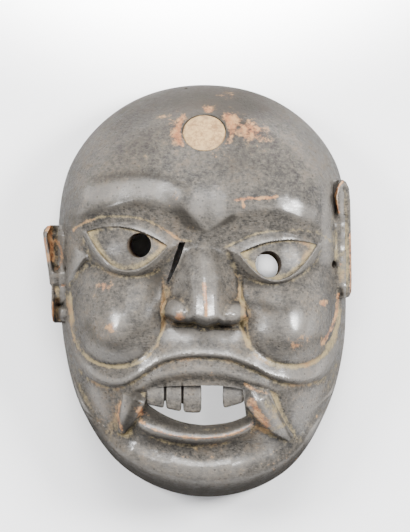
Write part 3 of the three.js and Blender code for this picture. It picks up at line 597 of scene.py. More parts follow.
@dataclass
class Face:
    """All of the carving, as one height over the dome."""

    dome: Dome = field(default_factory=lambda: Dome(depth=84.0, inset=0.0))
    fade_from: float = 0.84
    ground: float = -4.0
    swells: Sequence[tuple[float, Point, float, float]] = (
        (3.0, (-5.0, 53.0), 5.0, 8.0), (3.0, (8.5, 54.5), 5.0, 8.0), (1.5, (0.0, 91.5), 50.0, 30.0))
    socket_rise: float = 11.0
    socket_span: Point = (-6.5, 23.0)
    jaw_span: Point = (-39.0, -26.0)
    fold_slope: float = 0.42
    fold_drop: Point = (7.0, 5.0)
    lip_slopes: Point = (0.22, 0.02)
    lip_roll: Point = (1.05, 2.5)
    lower_lip_drop: Point = (11.0, 9.5)
    lower_lip_foot: float = 0.3
    root_blend: Point = (1.0, 6.0)
    root_span: Point = (5.0, 33.0)
    wide_join: float = 1.5
    lip_join: float = 1.2
    fine_join: float = 0.8
    chin_join: float = 7.0
    left_brow: Brow = field(default_factory=lambda: Brow(CarvedLine((
        (-95, 38), (-91.3, 45), (-86.7, 50.2), (-81.5, 54.1), (-72.4, 57.4), (-63.2, 59.6), (-55.4, 61.8),
        (-46.3, 63.9), (-39.8, 63.6), (-31.9, 61.6), (-20.2, 58.2), (-11, 55.3), (-7, 52), (-4.6, 47.8),
        (-0.7, 42), (1.8, 39.5))),
        rises=((-92, 0.1), (-80, 0.7), (-65, 1.0), (-30, 1.05), (-17, 0.6), (0, 0.2))))
    right_brow: Brow = field(default_factory=lambda: Brow(CarvedLine((
        (1.8, 39.5), (4.4, 42.4), (10.9, 49.3), (14.5, 52), (20.2, 54.8), (26, 57), (35.9, 58.6),
        (46.3, 58.6), (53, 56.6), (61.9, 53.1), (69.8, 49.2), (76.3, 44.6), (83, 37.5), (90, 29))),
        rises=((0, 0.2), (16, 0.5), (30, 0.8), (46, 1.0), (64, 0.9), (76, 0.4), (88, 0.0))))
    left_eye: GoggleEye = field(default_factory=lambda: GoggleEye(
        (-77.5, 38), (-24, 28.5), 7.3, 21.0, -0.05, 0.05))
    right_eye: GoggleEye = field(default_factory=lambda: GoggleEye(
        (22, 24), (73.5, 29.5), 5.6, 20.5, 0.05, -0.08))
    left_cheek: Cheek = field(default_factory=lambda: Cheek((-57.5, -17), 30.3, 33.3, (-60.5, -29)))
    right_cheek: Cheek = field(default_factory=lambda: Cheek((55.5, -16.5), 31.6, 33.9, (60.5, -29)))
    fold: CarvedLine = field(default_factory=lambda: CarvedLine((
        (-93, -10.5), (-91.5, -23.5), (-86.5, -37), (-81, -47), (-73, -55), (-61.5, -59.5),
        (-52, -58.8), (-42, -53.2), (-30, -45.5), (-18, -42), (-6, -41), (6.5, -41.5),
        (19.5, -43.6), (32, -48.8), (45, -55.2), (61.5, -58), (73.5, -55.3),
        (81.5, -48), (86.5, -37), (88.5, -23), (89.5, -10.5)),
        ((0.0, 0.5), (0.1, 2.5), (0.25, 4.0), (0.5, 5.5), (0.75, 4.0), (0.9, 2.5), (1.0, 0.5))))
    upper_lip: CarvedLine = field(default_factory=lambda: CarvedLine((
        (-60.5, -74), (-53, -69.5), (-43.5, -63), (-34.5, -57.5), (-24, -53.8), (-13, -52),
        (-1.5, -51.8), (11, -52.5), (24, -56), (36, -60.5), (46.5, -64), (55.5, -64)),
        ((0.0, -3.0), (0.12, 0.5), (0.5, 3.0), (0.88, 0.5), (1.0, -3.0))))
    lower_lip: CarvedLine = field(default_factory=lambda: CarvedLine((
        (-47.5, -83), (-43, -86), (-37, -89.5), (-28.5, -92.5), (-16.5, -95), (-2, -96),
        (11.5, -95), (23, -91.5), (30, -87.5), (34.5, -83.5)),
        ((0.0, -3.0), (0.12, 1.0), (0.5, 5.0), (0.88, 1.0), (1.0, -3.0))))
    nose: Nose = field(default_factory=Nose)
    fangs: Sequence[Fang] = field(default_factory=lambda: (
        Fang(CarvedLine(((-44.5, -66), (-48.5, -77), (-54.0, -91)),
                        ((0.0, 0.0), (0.2, 0.8), (0.6, 1.0), (1.0, 0.35))), (8.2, 2.4), 6.5),
        Fang(CarvedLine(((31, -65), (37.5, -76), (44.5, -86), (54.5, -95.5)),
                        ((0.0, 0.2), (0.2, 0.9), (0.6, 1.0), (1.0, 0.35))), (9.5, 2.4), 7.5)))
    chin: Chin = field(default_factory=Chin)
    cheekbone: Step = field(default_factory=lambda: Step(
        CarvedLine(((-91.5, 2.5), (-86.5, 9.5), (-80.5, 17), (-75.5, 22))), 4.2, 9.0, 2.4, 8.0))

    def fold_relief(self, x: Array, y: Array) -> Array:
        """The fold: a slope on its inner side and a quick eased drop on the outer one."""
        side, along = self.fold.measure(x, y)
        crest = self.fold.crest(along)
        drop, width = self.fold_drop
        outer = crest - drop * smooth_step(0.0, width, -side)
        return np.where(side > 0.0, crest - self.fold_slope * side, outer)

    def upper_lip_relief(self, x: Array, y: Array) -> Array:
        """The upper lip: nearly flat above its crest, rolling into a steeper slope below it."""
        side, along = self.upper_lip.measure(x, y)
        crest = self.upper_lip.crest(along)
        slope, roll = self.lip_roll
        below = crest - slope * (np.hypot(side, roll) - roll)
        straight, bent = self.lip_slopes
        return np.where(side > 0.0, crest - straight * side - bent * side * side, below)

    def lower_lip_relief(self, x: Array, y: Array) -> Array:
        """The lower lip: a slope into the mouth and an eased drop to the chin."""
        side, along = self.lower_lip.measure(x, y)
        crest = self.lower_lip.crest(along)
        drop, width = self.lower_lip_drop
        foot = self.lower_lip_foot * np.clip(-side - width, 0.0, None)
        return np.where(side > 0.0, crest - side, crest - drop * smooth_step(0.0, width, -side) - foot)

    def relief(self, x: Array, y: Array) -> Array:
        """Height of the carving over the dome: its forms joined one by one.

        Args:
            x: places across the face.
            y: places up the face.

        Returns:
            The height at each place, before it fades towards the rim.
        """
        brow = np.where(x > 0.0, self.right_brow.relief(x, y), self.left_brow.relief(x, y))
        for rise, at, half_x, half_y in self.swells:
            brow += rise * bell(x, y, at, half_x, half_y)
        socket = smooth_min(brow, self.ground + self.socket_rise * smooth_step(*self.socket_span, y), 1.0)
        jaw = smooth_max(self.ground, self.upper_lip_relief(x, y), self.wide_join)
        jaw = smooth_max(jaw, self.lower_lip_relief(x, y), self.lip_join)
        upper = smooth_step(*self.jaw_span, y)
        height = socket * upper + jaw * (1.0 - upper)
        height = smooth_max(height, self.fold_relief(x, y), self.wide_join)
        cheek = np.where(x < 0.0, self.left_cheek.relief(x, y), self.right_cheek.relief(x, y))
        eye = np.where(x < 0.0, self.left_eye.relief(x, y), self.right_eye.relief(x, y))
        for form in (cheek, eye, *(fang.relief(x, y) for fang in self.fangs)):
            height = smooth_max(height, form, self.fine_join)
        root_blend = self.root_blend[0] + self.root_blend[1] * smooth_step(*self.root_span, y)
        height = smooth_max(height, self.nose.relief(x, y), root_blend) + self.cheekbone.relief(x, y)
        return height - self.nose.pits(x, y)

    def height(self, x: Array, y: Array, share: Array) -> Array:
        """Height over the rim: the dome, and the relief faded out towards the edge."""
        fade = 1.0 - smooth_step(self.fade_from, 1.0, share)
        carved = self.dome.height(share) + fade * self.relief(x, y)
        return smooth_max(carved, self.chin.height(x, y, share), self.chin_join)


@dataclass
class Hollow:
    """The gouged hollow behind the face."""

    dome: Dome = field(default_factory=lambda: Dome(depth=68.0, inset=12.0))
    nose_at: Point = (0.0, 2.0)
    nose_rise: float = 12.0
    nose_half: Point = (17.0, 26.0)
    nose_fade: Point = (0.5, 0.9)
    gouge_width: float = 11.0
    gouge_depth: float = 0.9
    gouge_run: Point = (0.82, 0.57)
    gouge_fade: Point = (0.88, 1.0)
    wander: float = 9.0
    wander_size: float = 38.0

    def height(self, x: Array, y: Array, share: Array) -> Array:
        """The inner dome with a pocket for the nose, and ribs left between gouge strokes."""
        fade = 1.0 - smooth_step(*self.nose_fade, share)
        height = self.dome.height(share) + fade * self.nose_rise * bell(x, y, self.nose_at, *self.nose_half)
        wander = self.wander * LatticeNoise(5).layered(level_points(x, y), self.wander_size, 2)
        run_x, run_y = self.gouge_run
        phase = (run_x * x + run_y * y + wander.reshape(x.shape)) / self.gouge_width
        ribs = 1.0 - np.abs(np.sin(math.pi * phase))
        return height - self.gouge_depth * ribs * (1.0 - smooth_step(*self.gouge_fade, share))


# Meshes from arrays

@dataclass
class Shape:
    """Points and triangles of a closed surface."""

    points: Array
    triangles: Array

    def make(self, name: str) -> bpy.types.Object:
        """Object of the surface, linked to the scene."""
        return make_object(name, self.points, self.triangles.tolist())


def make_object(name: str, points: Array, faces: Sequence[Sequence[int]]) -> bpy.types.Object:
    """Put a mesh into the scene.

    Args:
        name: name of the object and its mesh.
        points: rows of x, y and z.
        faces: corner numbers of each face, counter-clockwise from outside.

    Returns:
        The new object, linked to the scene.
    """
    mesh = bpy.data.meshes.new(name)
    mesh.from_pydata(points.tolist(), [], [list(face) for face in faces])
    mesh.validate()
    mesh.update()
    made = bpy.data.objects.new(name, mesh)
    bpy.context.scene.collection.objects.link(made)
    return made


class AdaptiveGrid:
    """Right triangles over a square grid, split at their long sides until near enough."""

    def __init__(self, points: Array, tolerance: float, extra: Array) -> None:
        """Measure every split.

        Args:
            points: grid of x, y and z, a square of side 2 to some power plus 1.
            tolerance: greatest distance from the full surface.
            extra: a value at each grid point, in the same unit, kept as near as the surface.
        """
        self.points = points
        self.tolerance = tolerance
        self.extra = extra
        self.side = points.shape[0]
        self.levels = self.all_levels()
        self.worst = self.measure()

    @staticmethod
    def middles(triangles: Array) -> tuple[Array, Array]:
        """Doubled middles of the long sides, and which of them are grid points."""
        doubled = triangles[:, 0:2] + triangles[:, 2:4]
        return doubled // 2, np.all(doubled % 2 == 0, axis=1)

    def split(self, triangles: Array) -> Array:
        """Two triangles for each one, with the middle of its long side as their corner."""
        a, b, c = triangles[:, 0:2], triangles[:, 2:4], triangles[:, 4:6]
        middle, _ = self.middles(triangles)
        return np.concatenate([np.hstack([c, a, middle]), np.hstack([b, c, middle])])

    def all_levels(self) -> list[Array]:
        """Triangles of every level, from two halves of the square to the smallest."""
        last = self.side - 1
        levels = [np.array([[0, 0, last, last, last, 0], [last, last, 0, 0, 0, last]])]
        while self.middles(levels[-1])[1].all():
            levels.append(self.split(levels[-1]))
        return levels

    def number(self, places: Array) -> Array:
        """Number of a grid point from its column and row."""
        return places[:, 1] * self.side + places[:, 0]

    def measure(self) -> Array:
        """Worst error under each split point, worked out from the smallest triangles up."""
        flat = self.points.reshape(-1, 3)
        facing = grid_normals(self.points)
        value = self.extra.ravel()
        worst = np.zeros(len(flat))
        for triangles in reversed(self.levels):
            middle, whole = self.middles(triangles)
            triangles, middle = triangles[whole], middle[whole]
            if not len(triangles):
                continue
            a, b, m = (self.number(p) for p in (triangles[:, 0:2], triangles[:, 2:4], middle))
            gap = (flat[a] + flat[b]) / 2.0 - flat[m]
            error = np.abs((gap * facing[m]).sum(axis=1))
            error = np.maximum(error, np.abs((value[a] + value[b]) / 2.0 - value[m]))
            children = self.split(triangles)
            below, real = self.middles(children)
            under = np.where(real, worst[self.number(below)], 0.0)
            error = np.maximum(error, np.maximum(*np.split(under, 2)))
            np.maximum.at(worst, m, error)
        return worst

    def triangles(self) -> Array:
        """Triangles that meet the tolerance, as grid point numbers."""
        kept = []
        active = self.levels[0]
        while len(active):
            middle, whole = self.middles(active)
            deeper = whole & (self.worst[self.number(middle)] > self.tolerance)
            done = active[~deeper]
            kept.append(np.stack([self.number(done[:, k:k + 2]) for k in (0, 4, 2)], axis=1))
            active = self.split(active[deeper])
        return np.concatenate(kept)


def border_numbers(triangles: Array, side: int) -> Array:
    """Grid points on the edge of the square that the triangles use."""
    used = np.unique(triangles)
    column, row = used % side, used // side
    last = side - 1
    return used[(column == 0) | (row == 0) | (column == last) | (row == last)]


def zip_loops(points: Array, outer: Array, inner: Array) -> Array:
    """Triangles between two loops round the same middle.

    Args:
        points: rows of x, y and z.
        outer: point numbers of the outer loop.
        inner: point numbers of the inner loop.

    Returns:
        One triangle for each step of either loop. Each reaches to the last point of the other
        loop that comes before it in turn.
    """
    def turns(loop: Array) -> tuple[Array, Array]:
        angle = np.arctan2(points[loop, 1], points[loop, 0])
        order = np.argsort(angle)
        return loop[order], angle[order]

    outer, outer_turn = turns(outer)
    inner, inner_turn = turns(inner)
    behind_inner = np.searchsorted(inner_turn, outer_turn, side="left") - 1
    behind_outer = np.searchsorted(outer_turn, inner_turn, side="right") - 1
    first = np.stack([np.roll(outer, 1), inner[behind_inner], outer], axis=1)
    second = np.stack([outer[behind_outer], np.roll(inner, 1), inner], axis=1)
    return np.concatenate([first, second])


def closed_tube(rings: Array) -> Shape:
    """Closed skin over a stack of rings, with a fan at each end.

    Args:
        rings: array of ring, point and coordinate.

    Returns:
        The surface, with the ends closed on their middle points.
    """
    count, size, _ = rings.shape
    points = np.concatenate([rings.reshape(-1, 3), rings[:1].mean(axis=1), rings[-1:].mean(axis=1)])
    ring, k = np.meshgrid(np.arange(count - 1), np.arange(size), indexing="ij")
    a = (ring * size + k).ravel()
    b = (ring * size + (k + 1) % size).ravel()
    sides = np.concatenate([np.stack([a, b, b + size], 1), np.stack([a, b + size, a + size], 1)])
    turn = np.arange(size)
    following = (turn + 1) % size
    start = np.stack([following, turn, np.full(size, count * size)], 1)
    top = (count - 1) * size
    end = np.stack([turn + top, following + top, np.full(size, count * size + 1)], 1)
    return Shape(points, np.concatenate([sides, start, end]))


def facing_out(shape: Shape) -> Shape:
    """The shape with its triangles turned so that the volume it encloses is positive."""
    a, b, c = (shape.points[shape.triangles[:, k]] for k in range(3))
    volume = (a * np.cross(b, c)).sum()
    if volume >= 0.0:
        return shape
    return Shape(shape.points, shape.triangles[:, ::-1])


# Parts of the mask

@dataclass
class Shell:
    """The carved face and its hollow as one closed wall with a flat back rim."""

    face: Face = field(default_factory=Face)
    hollow: Hollow = field(default_factory=Hollow)
    front_cells: int = 512
    front_tolerance: float = 0.035
    hollow_cells: int = 128
    hollow_tolerance: float = 0.10
    knife_noise: LatticeNoise = field(default_factory=lambda: LatticeNoise(11))
    knife_height: float = 0.34

    def knife_marks(self, points: Array, share: Array) -> Array:
        """Move a grid along its own normals by layered noise, fading to nothing at the rim."""
        flat = points.reshape(-1, 3)
        broad = self.knife_noise.layered(flat * (1.0, 0.8, 1.0), 13.0, 3)
        fade = 1.0 - smooth_step(0.985, 1.0, share.ravel())
        moved = flat + grid_normals(points) * (self.knife_height * broad * fade)[:, None]
        return moved.reshape(points.shape)

    def front_grid(self) -> Array:
        """Grid of the face, with its knife marks."""
        x, y, share = self.face.dome.spread(self.front_cells)
        return self.knife_marks(np.stack([x, y, self.face.height(x, y, share)], axis=2), share)

    def build(self, marks: "Marks") -> Shape:
        """Thin both grids to what they need and close them with the rim.

        Args:
            marks: colours on the face, whose edges also need small triangles.

        Returns:
            The closed wall.
        """
        front = self.front_grid()
        # All marks together, painted shade and painted light among them, so that their edges get small
        # triangles.
        all_marks = marks.total(front[..., 0], front[..., 1])
        face = AdaptiveGrid(front, self.front_tolerance, 0.12 * all_marks).triangles()
        x, y, share = self.hollow.dome.spread(self.hollow_cells)
        back = np.stack([x, y, self.hollow.height(x, y, share)], axis=2)
        inside = AdaptiveGrid(back, self.hollow_tolerance, np.zeros(x.shape)).triangles()
        offset = front.shape[0] ** 2
        points = np.concatenate([front.reshape(-1, 3), back.reshape(-1, 3)])
        outer = border_numbers(face, front.shape[0])
        inner = border_numbers(inside, back.shape[0]) + offset
        points[outer, 2] = 0.0
        points[inner, 2] = 0.0
        rim = zip_loops(points, outer, inner)
        triangles = np.concatenate([face, inside[:, ::-1] + offset, rim])
        used, renumbered = np.unique(triangles, return_inverse=True)
        return Shape(points[used], renumbered.reshape(-1, 3))


def slab(top: Array, bottom: Array) -> Shape:
    """Closed slab between two grids of the same size.

    Args:
        top: grid of points of the upper skin.
        bottom: grid of points of the lower skin.

    Returns:
        The two skins, and strips that join their four edges.
    """
    rows, columns, _ = top.shape
    number = np.arange(rows * columns).reshape(rows, columns)
    a, b, c, d = (q.ravel() for q in (number[:-1, :-1], number[:-1, 1:], number[1:, 1:], number[1:, :-1]))
    skin = np.concatenate([np.stack([a, b, c], 1), np.stack([a, c, d], 1)])
    count = rows * columns
    rim = np.concatenate([number[0, :-1], number[:-1, -1], number[-1, :0:-1], number[:0:-1, 0]])
    following = np.roll(rim, -1)
    sides = np.concatenate([np.stack([rim, rim + count, following + count], 1),
                            np.stack([rim, following + count, following], 1)])
    points = np.concatenate([top.reshape(-1, 3), bottom.reshape(-1, 3)])
    return facing_out(Shape(points, np.concatenate([skin, skin[:, ::-1] + count, sides])))


@dataclass
class Patch:
    """A raised or sunk block of an ear, with soft sides."""

    low: Point
    high: Point
    rise: float
    soft: float = 1.2

    def relief(self, x: Array, y: Array) -> Array:
        """Rise inside the block: the product of eased steps at its four sides."""
        limits = zip(self.low, self.high, (x, y))
        across, along = (window(low, high, self.soft, at) for low, high, at in limits)
        return self.rise * across * along


@dataclass
class Ear:
    """An ear: a flange on the side of the head, with a rim, a hollow and a worn lobe.

    Attributes:
        side: -1 for the viewer's left, 1 for the right.
        root: how far from the middle of the face it starts, inside the wall.
        edge: pairs of a height on the face and how far the outer edge reaches there.
        rim: pairs of a height and how far out the crest of the rim lies.
        crest: pairs of a height and how far forward the crest stands.
        outer_fall: slope from the crest to the outer edge.
        bowl: how wide the hollow inside the rim is.
        inner_fall: pairs of a height and the drop from the crest to the hollow inside it.
        patches: blocks raised or sunk by damage, by distance from the middle and height.
    """

    side: float
    root: float
    edge: Sequence[Point]
    rim: Sequence[Point]
    crest: Sequence[Point]
    outer_fall: float
    bowl: float
    inner_fall: Sequence[Point]
    patches: Sequence[Patch] = ()
    thickness: float = 6.5
    least_wall: float = 1.2
    back_slope: float = 0.55
    crest_edge: float = 0.6
    bowl_power: float = 0.7
    rounding: float = 1.8
    roughness: float = 0.35
    sections: int = 110
    steps: int = 44
    noise: LatticeNoise = field(default_factory=lambda: LatticeNoise(31))

    def upper(self, far: Array, y: Array) -> Array:
        """Height of the front skin, from the crest, the two falls and the patches."""
        rim, crest, inner = (read_pairs(y, pairs) for pairs in (self.rim, self.crest, self.inner_fall))
        out = far - rim
        height = crest - self.outer_fall * np.sqrt(np.clip(out, 0.0, None) ** 2 + self.crest_edge)
        height -= inner * np.sin(math.pi * np.clip(-out / self.bowl, 0.0, 1.0) ** self.bowl_power)
        for patch in self.patches:
            height += patch.relief(far, y)
        return height + self.roughness * self.noise.layered(level_points(far, y), 5.0, 4).reshape(y.shape)

    def over(self, x: Array, y: Array, height: Array, wood: Array) -> tuple[Array, Array]:
        """Lay the ear's height over a grid of heights beside the head.

        Args:
            x: places across the face.
            y: places up the face.
            height: heights over the dome that are there already.
            wood: 1 where there is wood, 0 elsewhere.

        Returns:
            Both grids with the ear's own values where it reaches out past the wood.
        """
        heights, reaches = zip(*sorted(self.edge))
        far = self.side * x
        here = (far > self.root) & (far < np.interp(y, heights, reaches)) & (wood < 0.5)
        here &= (y > heights[0]) & (y < heights[-1])
        level = self.upper(far, y) - read_pairs(y, self.crest)
        return np.where(here, level, height), np.where(here, 1.0, wood)

    def build(self) -> Shape:
        """Front skin, a back skin under it that thickens to the root, and round edges.

        Returns:
            The closed ear.
        """
        heights, reaches = zip(*sorted(self.edge))
        t = (1.0 - np.cos(math.pi * np.linspace(0.0, 1.0, self.sections + 1))) / 2.0
        y = (heights[0] + (heights[-1] - heights[0]) * t)[:, None]
        s = np.sin(math.pi / 2.0 * np.linspace(0.0, 1.0, self.steps + 1))[None, :]
        edge = np.interp(y, heights, reaches)
        far = self.root + (edge - self.root) * s
        y = np.broadcast_to(y, far.shape)
        gap = np.minimum(np.minimum(edge - far, y - heights[0]), heights[-1] - y)
        near_edge = 1.0 - np.clip(gap / self.rounding, 0.0, 1.0)
        round_off = self.rounding * (1.0 - np.sqrt(1.0 - near_edge ** 2))
        top = self.upper(far, y) - round_off
        deep = read_pairs(y, self.crest) - self.thickness - self.back_slope * (edge - far)
        bottom = np.minimum(deep + round_off, top - self.least_wall)
        skins = [np.stack([self.side * far, y, z], 2) for z in (top, bottom)]
        return slab(*skins)


@dataclass
class Tooth:
    """A flat tooth that hangs from the wood behind the upper lip."""

    left: float
    right: float
    bottom: Point
    root: float = -59.0
    low: float = 67.0
    high: float = 75.5
    power: float = 0.3

    def build(self) -> Shape:
        """A rounded block: signed powers of the sine and cosine of two angles.

        Returns:
            The closed block, with its lower edge slanted between the two bottom heights.
        """
        turn = np.linspace(0.0, 2.0 * math.pi, 48, endpoint=False)
        tilt = np.linspace(-math.pi / 2.0, math.pi / 2.0, 18)

        def rounded(values: Array) -> Array:
            return np.sign(values) * np.abs(values) ** self.power

        tilt_grid, turn_grid = np.meshgrid(tilt, turn, indexing="ij")
        across = rounded(np.cos(tilt_grid)) * rounded(np.cos(turn_grid))
        up = rounded(np.cos(tilt_grid)) * rounded(np.sin(turn_grid))
        depth = rounded(np.sin(tilt_grid))
        x = (self.left + self.right) / 2.0 + across * (self.right - self.left) / 2.0
        lower = np.interp(across, (-1.0, 1.0), self.bottom)
        y = (self.root + lower) / 2.0 + up * (self.root - lower) / 2.0
        z = (self.low + self.high) / 2.0 + depth * (self.high - self.low) / 2.0
        rings = np.stack([x, y, z], 2)
        return facing_out(closed_tube(rings[1:-1]))


@dataclass
class Cutter:
    """A straight cut through the wood along an outline that is swept between two levels."""

    outline: Array
    low: float = -5.0
    high: float = 135.0

    def covers(self, x: Array, y: Array) -> Array:
        """1 inside the outline and 0 outside it, by the even count of edges to one side."""
        inside = np.zeros(x.shape, bool)
        for (ax, ay), (bx, by) in zip(self.outline, np.roll(self.outline, -1, axis=0)):
            if ay == by:
                continue
            crosses = (ay > y) != (by > y)
            inside ^= crosses & (x < (bx - ax) * (y - ay) / (by - ay) + ax)
        return inside.astype(float)

    def build(self) -> tuple[Array, list[list[int]]]:
        """Prism of the outline.

        Returns:
            Its points and faces, with the two ends as single faces.
        """
        count = len(self.outline)
        levels = [np.column_stack([self.outline, np.full(count, z)]) for z in (self.low, self.high)]
        turn = np.arange(count)
        following = (turn + 1) % count
        sides = np.stack([turn, following, following + count, turn + count], 1).tolist()
        area = (self.outline[:, 0] * np.roll(self.outline[:, 1], -1)
                - self.outline[:, 1] * np.roll(self.outline[:, 0], -1)).sum()
        faces = [*sides, turn[::-1].tolist(), (turn + count).tolist()]
        if area < 0.0:
            faces = [face[::-1] for face in faces]
        return np.concatenate(levels), faces


def rod(start: Sequence[float], end: Sequence[float], radius: float, sides: int = 48) -> Shape:
    """Round rod from one point to another: two rings square to the line between them."""
    start, end = np.array(start, float), np.array(end, float)
    way = (end - start) / np.linalg.norm(end - start)
    across = np.cross(way, (0.0, 0.0, 1.0) if abs(way[2]) < 0.9 else (1.0, 0.0, 0.0))
    across /= np.linalg.norm(across)
    up = np.cross(way, across)
    turn = np.linspace(0.0, 2.0 * math.pi, sides, endpoint=False)[:, None]
    ring = radius * (np.cos(turn) * across + np.sin(turn) * up)
    return facing_out(closed_tube(np.stack([start + ring, end + ring])))


# Marks of age on the face, with painted shade and painted light laid among them

class Mark(Enum):
    """What a mark is made of: dust, wear, dark grime together with painted shade, or gloss together with
    painted light.
    """

    DUST = "dust"
    WEAR = "wear"
    SOOT = "soot"
    POLISH = "polish"


@dataclass
class Streak:
    """A mark that runs along a line and thins out beside it."""

    points: Sequence[Point]
    width: float
    strength: float

    def amount(self, x: Array, y: Array) -> Array:
        """Strength times a bell of the distance from the line."""
        side, _ = CarvedLine(self.points, steps=4).measure(x, y)
        return self.strength * np.exp(-(side / self.width) ** 2)


@dataclass
class Spot:
    """A mark that lies round a place and thins out from it."""

    at: Point
    half: Point
    strength: float

    def amount(self, x: Array, y: Array) -> Array:
        """Strength times a bell of the distance from the place."""
        return self.strength * bell(x, y, self.at, *self.half)


